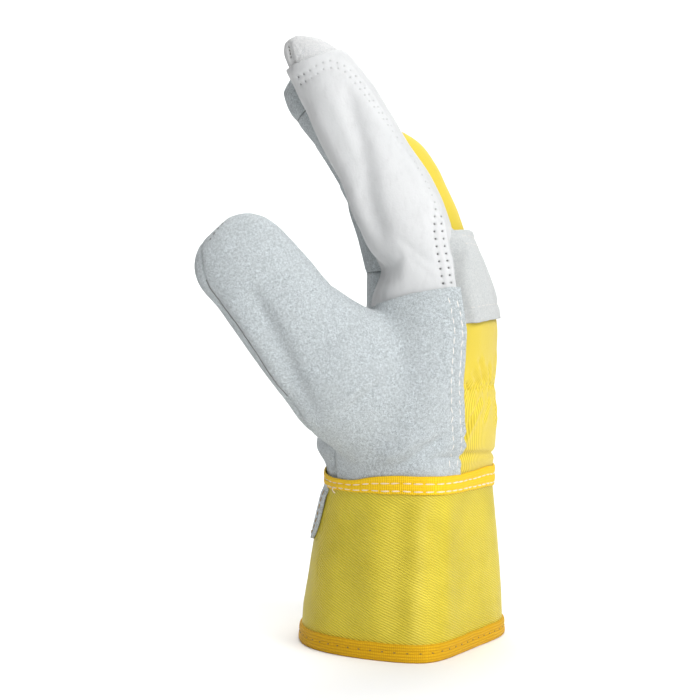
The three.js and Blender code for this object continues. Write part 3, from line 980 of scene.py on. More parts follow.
def mesh_object(name, bm, material):
    """A smooth mesh object from a bmesh, which it uses up."""
    mesh = bpy.data.meshes.new(name)
    bm.to_mesh(mesh)
    bm.free()
    mesh.polygons.foreach_set("use_smooth", np.full(len(mesh.polygons), True))
    mesh.materials.append(material)
    return linked(name, mesh)


def add_object(name, bm, finish):
    """A mesh object in the frame from a bmesh in millimetres."""
    bmesh.ops.transform(bm, matrix=TO_FRAME, verts=bm.verts)
    thing = mesh_object(name, bm, material(finish))
    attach(thing, "root")
    return thing


def add_piece(node, word, bm, finish, slot, thickness=0.0):
    """The piece that stands in for a node of the frame. A thickness goes inwards from its sheet."""
    thing = add_object(f"{node}_{word}", bm, finish)
    if slot == "canvas":
        lay_flat(thing)
    if thickness:
        solidify = thing.modifiers.new("Thickness", "SOLIDIFY")
        solidify.thickness = thickness * MM
        solidify.offset = -1
        solidify.use_even_offset = False
    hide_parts(node)
    return thing


def lay_flat(thing):
    """Gives a cloth piece the UV map of its flat cut, in millimetres, with V up the glove."""
    bpy.ops.object.select_all(action="DESELECT")
    thing.select_set(True)
    bpy.context.view_layer.objects.active = thing
    bpy.ops.object.mode_set(mode="EDIT")
    bpy.ops.mesh.select_all(action="SELECT")
    bpy.ops.uv.unwrap(method="CONFORMAL", margin=0)
    bpy.ops.object.mode_set(mode="OBJECT")
    mesh = thing.data
    flat = mesh.uv_layers.active.data
    uv = read(flat, "uv", 2)
    corner = read(mesh.loops, "vertex_index", 1, int)[:, 0]
    points = positions(mesh) / MM
    ends = edge_ends(mesh)
    first = np.zeros(len(points), int)
    first[corner] = np.arange(len(corner))
    long_3d, long_uv = (np.linalg.norm(np.diff(pairs, axis=1)[:, 0], axis=1)
                        for pairs in (points[ends], uv[first[ends]]))
    centred = (uv - uv.mean(0)) * np.median(long_3d / np.maximum(long_uv, 1e-9))
    high = points[corner, 2]
    up = centred.T @ (high - high.mean())
    up /= np.linalg.norm(up)
    flat.foreach_set("uv", np.column_stack([centred @ (up[1], -up[0]), centred @ up]).ravel())


# Materials


class Shader:
    """A procedural material under construction, with short calls for its nodes."""

    def __init__(self, name, **surface):
        self.material = bpy.data.materials.new(name)
        self.material.use_nodes = True
        self.tree = self.material.node_tree
        self.surface = self.tree.nodes["Principled BSDF"]
        for socket, value in surface.items():
            self.surface.inputs[socket.replace("_", " ")].default_value = value

    def node(self, kind, inputs=(), **settings):
        made = self.tree.nodes.new("ShaderNode" + kind)
        for setting, value in settings.items():
            setattr(made, setting, value)
        for socket, value in dict(inputs).items():
            self.put(value, made.inputs[socket])
        return made

    def put(self, value, socket):
        """Links an output to a socket, or sets the socket's own value."""
        if isinstance(value, bpy.types.Node):
            value = next(output for output in value.outputs if output.enabled)
        if isinstance(value, bpy.types.NodeSocket):
            self.tree.links.new(value, socket)
        else:
            socket.default_value = value

    def maths(self, operation, *values):
        return self.node("Math", dict(enumerate(values)), operation=operation)

    def millimetres(self):
        """Object coordinates in millimetres."""
        place = self.node("TexCoord").outputs["Object"]
        return self.node("VectorMath", {0: place, "Scale": 1000.0}, operation="SCALE").outputs["Vector"]

    def noise(self, place, size, detail=3.0, roughness=0.55):
        """Noise with features of a size in millimetres, from 0 to 1."""
        inputs = {"Vector": place, "Scale": 1.0 / size, "Detail": detail, "Roughness": roughness}
        return self.node("TexNoise", inputs).outputs["Fac"]

    def cells(self, place, size):
        return self.node("TexVoronoi", {"Vector": place, "Scale": 1.0 / size}).outputs["Distance"]

    def span(self, value, low, high, to_low=0.0, to_high=1.0):
        """The value's range from low to high stretched to another range."""
        inputs = {"Value": value, "From Min": low, "From Max": high, "To Min": to_low, "To Max": to_high}
        return self.node("MapRange", inputs).outputs["Result"]

    def attribute(self, name):
        """A number kept at the mesh's points."""
        return self.node("Attribute", attribute_name=name).outputs["Fac"]

    def mix(self, share, first, second):
        """Between two colours."""
        made = self.node("Mix", data_type="RGBA")
        self.put(share, made.inputs[0])
        self.put(first, made.inputs[6])
        self.put(second, made.inputs[7])
        return made.outputs[2]

    def bump(self, height, strength, depth, below=None):
        inputs = {"Height": height, "Strength": strength, "Distance": depth * MM}
        if below is not None:
            inputs["Normal"] = below
        return self.node("Bump", inputs).outputs["Normal"]

    def finish(self, colour, normal):
        self.put(colour, self.surface.inputs["Base Color"])
        self.put(normal, self.surface.inputs["Normal"])
        return self.material


def shade(colour, factor, tint=(1.0, 1.0, 1.0)):
    return tuple(min(1.0, channel * factor * part) for channel, part in zip(colour, tint)) + (1.0,)


def suede_material(name, colour, contrast=1.0):
    """Split leather with a short nap: mottled, speckled and soft."""
    s = Shader(name, Roughness=0.95, Sheen_Weight=0.25, Sheen_Roughness=0.6, Specular_IOR_Level=0.2)
    place = s.millimetres()
    fibre = s.noise(place, 0.3, 4, 0.75)
    clumps = s.noise(place, 0.9, 3, 0.6)
    mottle = s.noise(place, 4.2, 3, 0.6)
    clouds = s.noise(place, 16, 3)
    speckle = s.span(s.maths("ADD", fibre, s.maths("MULTIPLY", clumps, 0.4)), 0.58, 0.83)
    dark = shade(colour, 1 - 0.5 * contrast, (0.97, 1.0, 1.03))
    light = shade(colour, 1 + 0.3 * contrast)
    speckled = s.mix(speckle, dark, light)
    speckled = s.mix(s.span(mottle, 0.4, 0.66, 0.0, 0.3 * contrast), speckled, shade(colour, 0.8))
    clouded = s.mix(s.span(clouds, 0.35, 0.7, 0.0, 0.2), speckled, shade(colour, 0.9, (1.0, 0.99, 0.97)))
    # Painted shade: darker in needle holes wherever a piece has them marked
    with_hole_shade = s.mix(s.attribute("hole"), clouded, shade(colour, 0.3))
    nap = s.bump(speckle, 0.65, 0.3)
    return s.finish(with_hole_shade, s.bump(mottle, 0.3, 0.5, nap))


def grain_material(name, colour):
    """Smooth leather with fine pores, pebbled grain and stretched wrinkles."""
    s = Shader(name, Roughness=0.5, Sheen_Weight=0.08, Specular_IOR_Level=0.4)
    place = s.millimetres()
    warp = s.node("TexNoise", {"Vector": place, "Scale": 0.25, "Detail": 2.0}).outputs["Color"]
    shift = s.node("VectorMath", {0: warp, "Scale": 2.5}, operation="SCALE")
    bent = s.node("VectorMath", {0: place, 1: shift}, operation="ADD").outputs["Vector"]
    pebble = s.cells(bent, 0.8)
    stretched = s.node("Mapping", {"Vector": bent, "Scale": (0.55, 1.0, 0.22), "Rotation": (0, 0.35, 0)})
    wrinkle = s.noise(stretched.outputs["Vector"], 1.6, 4, 0.6)
    clouds = s.noise(place, 18, 2)
    cloudy = shade(colour, 0.94, (0.99, 1.0, 1.0))
    tone = s.mix(s.span(clouds, 0.35, 0.65, 0.0, 0.5), shade(colour, 1.02), cloudy)
    tone = s.mix(s.span(wrinkle, 0.32, 0.52, 0.4, 0.0), tone, shade(colour, 0.84))
    # Painted shade: darker in the needle holes that prick marks
    with_hole_shade = s.mix(s.attribute("hole"), tone, shade(colour, 0.22))
    fine = s.bump(pebble, 0.25, 0.12)
    return s.finish(with_hole_shade, s.bump(wrinkle, 0.35, 0.35, fine))


def stripes(s, along, pitch, lean=0.0, across=None):
    """Even lines from 0 to 1 that repeat at a pitch in millimetres."""
    turned = along if across is None else s.maths("ADD", along, s.maths("MULTIPLY", across, lean))
    wave = s.maths("SINE", s.maths("MULTIPLY", turned, 2 * math.pi / pitch))
    return s.span(wave, -1.0, 1.0)


def woven_uv(s):
    """The cloth's own coordinates, in millimetres."""
    both = s.node("SeparateXYZ", {0: s.node("UVMap").outputs["UV"]})
    return both.outputs["X"], both.outputs["Y"]


def canvas_material(name, colour):
    """Cotton drill: fine steep diagonal lines and uneven yarns."""
    s = Shader(name, Roughness=0.85, Sheen_Weight=0.2, Sheen_Roughness=0.5, Specular_IOR_Level=0.25)
    u, v = woven_uv(s)
    place = s.millimetres()
    twill = stripes(s, u, 0.82, 0.72, v)
    yarn = s.noise(place, 0.45, 3, 0.6)
    clouds = s.noise(place, 16, 2)
    tone = s.mix(s.span(twill, 0.0, 0.7), shade(colour, 0.66, (1.0, 0.95, 0.7)), shade(colour, 1.08))
    tone = s.mix(s.span(yarn, 0.3, 0.7, 0.3, 0.0), tone, shade(colour, 0.8))
    tone = s.mix(s.span(clouds, 0.4, 0.7, 0.0, 0.3), tone, shade(colour, 0.95, (1.0, 0.95, 0.9)))
    lines = s.bump(twill, 0.6, 0.2)
    return s.finish(tone, s.bump(yarn, 0.25, 0.15, lines))


def coated_material(name, colour):
    """Rubberised twill: clear slanting lines, slightly shiny, with soft blotches."""
    s = Shader(name, Roughness=0.5, Specular_IOR_Level=0.35)
    u, v = woven_uv(s)
    place = s.millimetres()
    waver = s.maths("MULTIPLY", s.noise(place, 5, 2), 0.5)
    twill = stripes(s, s.maths("ADD", v, waver), 1.05, 0.4, u)
    cross = stripes(s, u, 0.62)
    pits = s.maths("MULTIPLY", s.span(twill, 0.32, 0.0), s.span(cross, 0.2, 0.9))
    clouds = s.noise(place, 22, 3)
    grit = s.noise(place, 0.6, 3, 0.7)
    tone = s.mix(s.span(clouds, 0.35, 0.7), shade(colour, 1.04), shade(colour, 0.9, (0.98, 0.97, 0.8)))
    tone = s.mix(s.span(twill, 0.6, 0.0, 0.0, 0.6), tone, shade(colour, 0.6, (1.0, 0.95, 0.7)))
    tone = s.mix(s.maths("MULTIPLY", pits, 0.5), tone, shade(colour, 0.5, (1.0, 0.92, 0.7)))
    tone = s.mix(s.span(grit, 0.55, 0.8, 0.0, 0.35), tone, shade(colour, 1.2, (1.0, 1.02, 1.6)))
    lines = s.bump(twill, 0.7, 0.25)
    return s.finish(tone, s.bump(grit, 0.15, 0.1, lines))


def tape_material(name, colour, ribbed, ridged):
    """Woven tape with fine ribs across it and ridges along it."""
    s = Shader(name, Roughness=0.75, Sheen_Weight=0.04, Specular_IOR_Level=0.22)
    u, v = woven_uv(s)
    place = s.millimetres()
    ribs = stripes(s, u, 0.8)
    ridges = stripes(s, v, 1.15)
    yarn = s.noise(place, 0.5, 3, 0.6)
    clouds = s.noise(place, 12, 2)
    between = shade(colour, 1 - 0.3 * ribbed, (1.0, 0.88, 0.6))
    tone = s.mix(s.span(ribs, 0.1, 0.8), between, shade(colour, 1.06))
    tone = s.mix(s.span(ridges, 0.45, 0.0, 0.0, ridged), tone, shade(colour, 0.7, (1.0, 0.85, 0.6)))
    tone = s.mix(s.span(yarn, 0.3, 0.7, 0.25, 0.0), tone, shade(colour, 0.85))
    tone = s.mix(s.span(clouds, 0.4, 0.7, 0.0, 0.4), tone, shade(colour, 0.95, (1.0, 0.9, 0.9)))
    low = s.bump(ribs, 0.6 * ribbed, 0.2)
    return s.finish(tone, s.bump(ridges, 0.8 * ridged, 0.25, low))


def thread_material(name, colour):
    """Twisted sewing thread."""
    s = Shader(name, Roughness=0.6, Sheen_Weight=0.2)
    place = s.millimetres()
    fibre = s.noise(place, 0.3, 3)
    tone = s.mix(s.span(fibre, 0.35, 0.7), shade(colour, 0.82), shade(colour, 1.05))
    return s.finish(tone, s.bump(fibre, 0.4, 0.1))


@functools.cache
def material(name):
    """The glove's materials by name, each made once."""
    c = bpy.context.scene.glove_colours
    return {
        "suede": lambda: suede_material("Grey suede", c.suede),
        "pale_suede": lambda: suede_material("Pale suede", c.pale_suede, 0.3),
        "strap": lambda: suede_material("Strap suede", c.strap, 0.35),
        "grain_leather": lambda: grain_material("White grain leather", c.grain),
        "canvas": lambda: canvas_material("Yellow drill", c.canvas),
        "coated_canvas": lambda: coated_material("Rubberised twill", c.coated),
        "tape": lambda: tape_material("Woven tape", c.tape, 0.9, 0.4),
        "binding": lambda: tape_material("Binding tape", c.binding, 0.35, 0.8),
        "thread": lambda: thread_material("White thread", c.thread),
        # Orange thread darkened to 0.4 of the binding's colour: painted shade of the holes it sinks into
        "orange_thread_painted_with_shade": lambda: thread_material("Orange thread in the shade of its holes", shade(c.binding, 0.4)[:3]),
        "strap_thread": lambda: thread_material("Grey thread", shade(c.thread, 0.8)[:3]),
        "tape_thread": lambda: thread_material("Peach thread", shade(c.thread, 1, (1.0, 0.86, 0.68))[:3]),
        # Thread darkened to a sixth of its colour: painted shade of its holes, and of the palm side along the
        # thumb's outer edge
        "thread_painted_with_shade": lambda: thread_material("Thread in the shade of its hole", shade(c.thread, 0.16)[:3]),
    }[name]()


def slot_of(piece):
    if piece in CANVAS_PIECES:
        return "canvas"
    if piece in GRAIN_PIECES:
        return "grain_leather"
    return "pale_suede" if piece == "index_tip" else "suede"


def add_shell_piece(piece):
    slot = slot_of(piece)
    word = {"canvas": "canvas", "grain_leather": "leather"}.get(slot, "suede")
    return add_piece(piece, word, shell_piece(piece), slot, slot, thickness_of(piece))


class GLOVE_OT_suede_panels(bpy.types.Operator):
    """Cut the thumb panel and the palm from grey suede"""

    bl_idname = "glove.suede_panels"
    bl_label = "Suede panels"

    def execute(self, context):
        add_shell_piece("thumb_panel")
        add_shell_piece("palm")
        return {"FINISHED"}


class GLOVE_OT_hand_back(bpy.types.Operator):
    """Cut the gathered canvas back"""

    bl_idname = "glove.hand_back"
    bl_label = "Canvas back"

    def execute(self, context):
        back = add_shell_piece("hand_back")
        return {"FINISHED"}


class GLOVE_OT_index_finger(bpy.types.Operator):
    """Make the index finger of grain leather with its suede tip"""

    bl_idname = "glove.index_finger"
    bl_label = "Index finger"

    def execute(self, context):
        for part in ("front", "back", "tip"):
            add_shell_piece("index_" + part)
        return {"FINISHED"}


class GLOVE_OT_other_fingers(bpy.types.Operator):
    """Make the middle, ring and little fingers of suede and canvas"""

    bl_idname = "glove.other_fingers"
    bl_label = "Other fingers"

    def execute(self, context):
        for finger in OTHER_FINGERS:
            for part in ("front", "back", "tip"):
                thing = add_shell_piece(f"{finger}_{part}")
        return {"FINISHED"}


# The cuff, its tape and its binding


def swept_band(profile, sides):
    """A closed band round the cuff from a profile of heights and growths. Its UV map is in millimetres."""
    bm = bmesh.new()
    rings = [cuff_ring(z, grow, sides) for z, grow in profile]
    loops = loft(bm, rings, closed=True)
    bmesh.ops.recalc_face_normals(bm, faces=bm.faces)
    uv_layer = bm.loops.layers.uv.new("Cloth")
    around = reach_along(closed_line(rings[0]))[-1]
    steps = reach_along(np.array(profile))
    place = {vert: (column, row) for row, verts in enumerate(loops) for column, vert in enumerate(verts)}
    for face in bm.faces:
        spots = [place[loop.vert] for loop in face.loops]
        columns, rows = zip(*spots)
        wraps = max(columns) - min(columns) > sides / 2
        closes = max(rows) - min(rows) > 1
        for loop, (column, row) in zip(face.loops, spots):
            column += sides if wraps and column < sides / 2 else 0
            height = steps[-1] + 1 if closes and row == 0 else steps[row]
            loop[uv_layer].uv = (column / sides * around, height)
    return bm


CUFF_SIDES = 264

# Waves down the thumb side of the cuff: where they run at hem and wrist, how far out, and half width
CUFF_WAVES = table(
    "hem_x wrist_x out width",
    (8.5, 12.5, -0.9, 3.5),
    (16, 18.5, 0.6, 3.5),
    (1, 4, 0.2, 4.0),
    (-4.5, -1, -0.8, 4.5),
    (-14, -11, 0.7, 5.0),
    (-27, -21, -0.5, 5.0),
    (26, 25, -0.4, 7.0),
)


def cuff_heights(points):
    """How far the cuff's wall stands out from its smooth form, fading to nothing at the hem and the tape."""
    x, y, z = points.T
    height = 0.5 * noise_at(points, 24, 2) + 0.12 * noise_at(points, 7, 6)
    for hem_x, wrist_x, out, width in zip(*vars(CUFF_WAVES).values()):
        height += out * bell(x - hem_x - (wrist_x - hem_x) * z / 70, width) * smooth_step((-y - 8) / 14)
    return height * smooth_step((z - 4) / 12) * smooth_step((TAPE_LOW - z) / 12)


def swell(bm, heights):
    """Moves a band's points straight out from the glove's middle."""
    for vert, height in zip(bm.verts, heights):
        vert.co += Vector((vert.co.x - 3, vert.co.y, 0)).normalized() * float(height)


class GLOVE_OT_cuff(bpy.types.Operator):
    """Make the flared cuff of rubberised twill"""

    bl_idname = "glove.cuff"
    bl_label = "Cuff"

    def execute(self, context):
        wall = size_of("cuff")
        heights = np.linspace(CUFF_LOW, CUFF_HIGH, CUFF_RINGS)
        inner = [(z - 0.05, -wall) for z in heights[::-3]] + [(CUFF_LOW + 0.05, -wall)]
        profile = [(z, 0.0) for z in heights] + inner
        bm = swept_band(profile, CUFF_SIDES)
        swell(bm, cuff_heights(np.array([vert.co for vert in bm.verts])))
        thing = add_piece("cuff", "twill", bm, "coated_canvas", "coated_canvas")
        return {"FINISHED"}


# The sections of tape and binding, as heights and how far out from the cuff's smooth form
TAPE_PROFILE = (
    (66.3, 0.25), (66.2, 0.7), (66.7, 0.95), (67.3, 0.9), (67.6, 0.6), (67.9, 0.95), (68.6, 1.15),
    (69.6, 1.2), (70.6, 1.1), (71.1, 0.9), (71.35, 0.6), (71.6, 0.9), (72.3, 1.15), (73.3, 1.2),
    (74.3, 1.1), (74.9, 0.8), (75.0, 0.4), (74.6, 0.25),
)
BINDING_PROFILE = (
    (7.1, 0.2), (7.2, 0.7), (6.7, 0.95), (5.4, 1.05), (4.6, 0.95), (3.9, 0.8), (3.2, 0.95),
    (2.2, 1.05), (1.1, 1.0), (0.35, 0.7), (0.02, 0.2), (0.0, -1.6), (0.35, -2.4), (1.2, -2.8),
    (3.5, -2.85), (6.0, -2.8), (6.9, -2.5), (7.0, -1.8),
)


def sunk_tape(points):
    """The height of points on the wrist tape, drawn down where the suede bulges over it."""
    x, y, z = points.T
    sunk = 0.15 * smooth_step((-y - 6) / 26) + 0.34 * smooth_step((-6 - x) / 20) * smooth_step((16 - y) / 30)
    return np.where(z > TAPE_LOW, TAPE_LOW + (z - TAPE_LOW) * (1 - sunk), z)


class GLOVE_OT_tapes(bpy.types.Operator):
    """Make the wrist tape and the hem's binding"""

    bl_idname = "glove.tapes"
    bl_label = "Tape and binding"

    def execute(self, context):
        for node, word, profile, finish in (
            ("wrist_tape", "band", TAPE_PROFILE, "tape"),
            ("hem_binding", "tape", BINDING_PROFILE, "binding"),
        ):
            bm = swept_band(profile, 2 * CUFF_SIDES)
            points = np.array([vert.co for vert in bm.verts])
            swell(bm, 0.12 * noise_at(points * (1, 1, 0.4), 5, 8))
            sway = smooth_step((points[:, 2] - 1.5) / 3) * 0.3 * noise_at(points * (1, 1, 0), 9, 9)
            for vert, z in zip(bm.verts, sunk_tape(points) + sway):
                vert.co.z = z
            add_piece(node, word, bm, finish, "tape")
        return {"FINISHED"}


# The pulse patch's middle and half sizes across and up, its corners' radius and its upper end
PATCH = SimpleNamespace(middle=(0, 64), half=(15.8, 20.3), corner=9, top=70)


def rounded_patch(y, z):
    """Under 0 inside the patch's rectangle with round corners, in the plane of y and z."""
    dy = abs(y - PATCH.middle[0]) - PATCH.half[0] + PATCH.corner
    dz = abs(z - PATCH.middle[1]) - PATCH.half[1] + PATCH.corner
    return math.hypot(max(dy, 0), max(dz, 0)) + min(max(dy, dz), 0) - PATCH.corner


class GLOVE_OT_pulse_patch(bpy.types.Operator):
    """Make the suede patch that hangs over the pulse"""

    bl_idname = "glove.pulse_patch"
    bl_label = "Pulse patch"

    def execute(self, context):
        bm = bmesh.new()
        loft(bm, [cuff_ring(z, 1.7 - 0.8 * smooth_step((z - 62) / 5), 300) for z in np.linspace(42, 77, 40)])
        caps = [face for face in bm.faces if len(face.verts) > 4]
        bmesh.ops.delete(bm, geom=caps, context="FACES")
        bmesh.ops.recalc_face_normals(bm, faces=bm.faces)
        bmesh.ops.delete(bm, geom=[vert for vert in bm.verts if vert.co.x > 0], context="VERTS")
        layer = bm.verts.layers.float.new("field")
        for vert in bm.verts:
            vert[layer] = max(rounded_patch(vert.co.y, vert.co.z), vert.co.z - PATCH.top)
        trim(bm, layer)
        if sum(face.normal.x for face in bm.faces) > 0:
            bmesh.ops.reverse_faces(bm, faces=bm.faces)
        add_piece("pulse_patch", "suede", bm, "suede", "suede", size_of("strap"))
        return {"FINISHED"}


@functools.cache
def strap_form():
    """The hand with the strap's bridge over the knuckles."""
    thickness = size_of("strap")
    tubes = [denser(level_rings(STRAP_FORM, thickness)), denser(level_rings(HAND, 0.4 + thickness))]
    for rows in DIGITS[1:]:
        grown = SimpleNamespace(**vars(rows))
        grown.deep = rows.deep + 0.4 + thickness
        grown.wide = rows.wide + 0.4 + thickness
        tubes.append(denser(digit_rings(grown)))
    mesh = voxel_mesh(tubes)
    rest = relaxed(positions(mesh), edge_ends(mesh), 14)
    distances = {"knuckle_strap": distances_to("knuckle_strap", rest)}
    return SimpleNamespace(mesh=prepared(mesh, rest, rest), distances=distances)


STRAP_TOP = 174.6

# The strap's rows of stitches: the lower one above the low edge, the upper ones by height
STRAP_ROWS = SimpleNamespace(low=6.0, high=171.9, second=168.4)


def strap_foot(points):
    """The height of the strap's low edge at each point, by how far round the hand the point is."""
    turn = np.arctan2(points[:, 1], points[:, 0] - 11)
    turns = (-1.5, -1.2, -1.03, -0.81, -0.38, 0.3, 0.8, 1.4)
    return np.interp(turn, turns, (135.2, 136.0, 137.3, 138.1, 138.9, 139.2, 138.2, 136.6))


def strap_heights(points):
    """The strap's stitched edges, its soft folds and the unevenness of its suede."""
    height = 0.3 * noise_at(points, 13, 11) + 0.12 * noise_at(points, 4.5, 12)
    up = points[:, 2] - strap_foot(points)
    height -= 0.45 * bell(up - STRAP_ROWS.low, 0.9) + 0.3 * bell(points[:, 2] - STRAP_ROWS.high, 0.9)
    height += 0.25 * bell(up - STRAP_ROWS.low + 1.8, 1.6)
    distance, share = near_line(points[:, [1, 2]], ((-37, 141), (-35, 152), (-36.5, 166)))
    return height - 0.5 * bell(distance, 1.6) * smooth_step(share * 4) * smooth_step((1 - share) * 4)


class GLOVE_OT_knuckle_strap(bpy.types.Operator):
    """Make the pale suede strap over the knuckles"""

    bl_idname = "glove.knuckle_strap"
    bl_label = "Knuckle strap"

    def execute(self, context):
        form = strap_form()
        rest = positions(form.mesh)
        x, y, z = rest.T
        near = smooth_step((26 - x) / 3) * smooth_step((-y - 26) / 6)
        field = form.distances["knuckle_strap"] - 3 - 2 * near
        field = np.maximum(field, np.maximum(z - STRAP_TOP, leather_edge(z) - 4 - x))
        field = np.maximum(field, strap_foot(rest) - z)
        bm = cut_from(form, uneven(field, rest, 4, 0.22, 2.4, 4))
        thickness = size_of("strap")
        # Its near end comes down onto the hand and goes under the index leather
        for vert in bm.verts:
            past = vert.co.x - float(leather_edge(vert.co.z))
            share = float(1 - smooth_step((past - 1.5) / 4))
            if share > 0 and vert.co.y < 0:
                place, normal, _, _ = hand_tree().find_nearest(vert.co)
                lift = -0.95 + (thickness + 1.1) * float(smooth_step((past + 0.5) / 4))
                vert.co = vert.co.lerp(place + normal * lift, share)
        points = np.array([vert.co for vert in bm.verts])
        bm.normal_update()
        for vert, height in zip(bm.verts, strap_heights(points)):
            vert.co += vert.normal * float(height)
        add_piece("knuckle_strap", "suede", bm, "strap", "pale_suede", thickness)
        return {"FINISHED"}


# Stitches


def surface_of(name):
    """A search tree of a finished piece, in millimetres from the middle of the cuff."""
    return search_tree(bpy.data.objects[name].data, TO_GLOVE)


def add_thread(bm, place, basis, size):
    """A short length of thread, as an egg of three half sizes that a basis turns."""
    matrix = Matrix.Translation(place) @ basis @ Matrix.Diagonal((*size, 1))
    bmesh.ops.create_uvsphere(bm, u_segments=6, v_segments=5, radius=1, matrix=matrix)


def sew(bm, tree, line, pitch, fill, thread, sway, seed):
    """Sews stitches along a line of close points, each half sunk in the surface."""
    radius = size_of("thread") / 2 * thread
    rng = np.random.default_rng(seed)
    length = reach_along(line)[-1]
    marks = even_steps(line, length / (2 * max(1, round(length / pitch))))
    for a, middle, b in zip(marks[::2], marks[1::2], marks[2::2]):
        place, normal, _, _ = tree.find_nearest(middle)
        along = Vector(b - a)
        long = along.length * fill * rng.uniform(0.85, 1.05)
        level = (along - normal * along.dot(normal)).normalized()
        along = Matrix.Rotation(rng.normal(0, sway), 3, normal) @ level
        basis = Matrix((normal.cross(along), normal, along)).transposed().to_4x4()
        add_thread(bm, place + normal * radius * 0.2, basis, (radius * 1.15, radius * 0.9, long / 2))


def border_line(name, high=152.0, low=104.0):
    """The edge of a piece down the thumb's outer side, as points from a high to a low level."""
    bm = bmesh.new()
    bm.from_mesh(bpy.data.objects[name].data)
    edge = np.array([TO_GLOVE @ vert.co for vert in bm.verts if vert.is_boundary])
    bm.free()
    outer = edge[(edge[:, 0] < -30) & (edge[:, 0] * 0.8 + edge[:, 2] * 0.6 < 50)]
    found = []
    for z in np.arange(high, low, -1.5):
        level = outer[np.abs(outer[:, 2] - z) < 1.0]
        if len(level):
            found.append(level[level[:, 0].argmin()])
    return np.array(found)


def round_row(tree, middle, heights, turns, reach=90):
    """Where level lines drawn in towards the middle meet a surface, turn by turn."""
    found = []
    for turn, z in zip(turns, heights):
        way = Vector((math.cos(turn), math.sin(turn), 0))
        place = tree.ray_cast(Vector((*middle, z)) + way * reach, -way)[0]
        if place is not None:
            found.append(place)
    return np.array(found)


def add_stitches(name, bm, finish="thread"):
    """The object of a group of stitches."""
    bmesh.ops.recalc_face_normals(bm, faces=bm.faces)
    return add_object(name, bm, finish)


class GLOVE_OT_leather_stitches(bpy.types.Operator):
    """Sew the thumb panel, the strap and the index finger with white thread, and lay dark thread as painted
    shade in the seams and along the thumb's outer edge
    """

    bl_idname = "glove.leather_stitches"
    bl_label = "Stitches in leather"

    def execute(self, context):
        bm = bmesh.new()
        panel = surface_of("thumb_panel_suede")
        for seed, row in enumerate(ROWS["thumb_panel"]):
            sew(bm, panel, seen_on(panel, row), size_of("panel_stitch"), 0.74, 0.72, 0.2, seed)
        add_stitches("panel_stitches", bm)

        bm = bmesh.new()
        strap = surface_of("knuckle_strap_suede")
        turns = np.linspace(-1.22, 1.25, 160)
        foot = strap_foot(np.column_stack([11 + np.cos(turns), np.sin(turns), turns]))
        rows = (0 * turns + STRAP_ROWS.high, 0 * turns + STRAP_ROWS.second, foot + STRAP_ROWS.low)
        for seed, heights in enumerate(rows, 10):
            row = round_row(strap, (8, 0), heights, turns)
            sew(bm, strap, row, size_of("stitch"), 0.72, 0.6, 0.06, seed)
        add_stitches("strap_stitches", bm, "strap_thread")

        # Rows of dark thread that stand for painted shade in the holes of the thumb's seam and of the cap's
        # seam
        bm = bmesh.new()
        cap = surface_of("index_tip_suede")
        sew(bm, panel, seen_on(panel, "thumb_seam", 0.5), 2.6, 0.6, 0.8, 0.2, 20)
        sew(bm, cap, seen_on(cap, "cap_seam", 0.5), 1.5, 0.9, 0.8, 0.2, 21)
        # Painted shade: a dark line along the thumb panel's outer edge, where the palm side turns away into
        # shade
        sew(bm, panel, border_line("thumb_panel_suede"), 1.2, 1.15, 0.8, 0.1, 22)
        add_stitches("seam_stitches", bm, "thread_painted_with_shade")
        return {"FINISHED"}


# Heights and growths of the rows along the tape, and how many points a row has before it is sewn
TAPE_ROWS = ((71.35, 0.6), (67.6, 0.6))
ROW_POINTS = 800


def patch_line(inset, turns=12):
    """Points down one side of the patch, round its low corners and up again, inset from its edge."""
    (y, z), (wide, high) = PATCH.middle, [half - inset for half in PATCH.half]
    corner = PATCH.corner - inset
    found = [(y - wide, z + high)]
    for side, start in ((-1, math.pi), (1, 1.5 * math.pi)):
        for turn in np.linspace(start, start + math.pi / 2, turns):
            across = y + side * (wide - corner) + corner * math.cos(turn)
            found.append((across, z - high + corner + corner * math.sin(turn)))
    return even_steps(np.array(found + [(y + wide, z + high)]), 0.5)


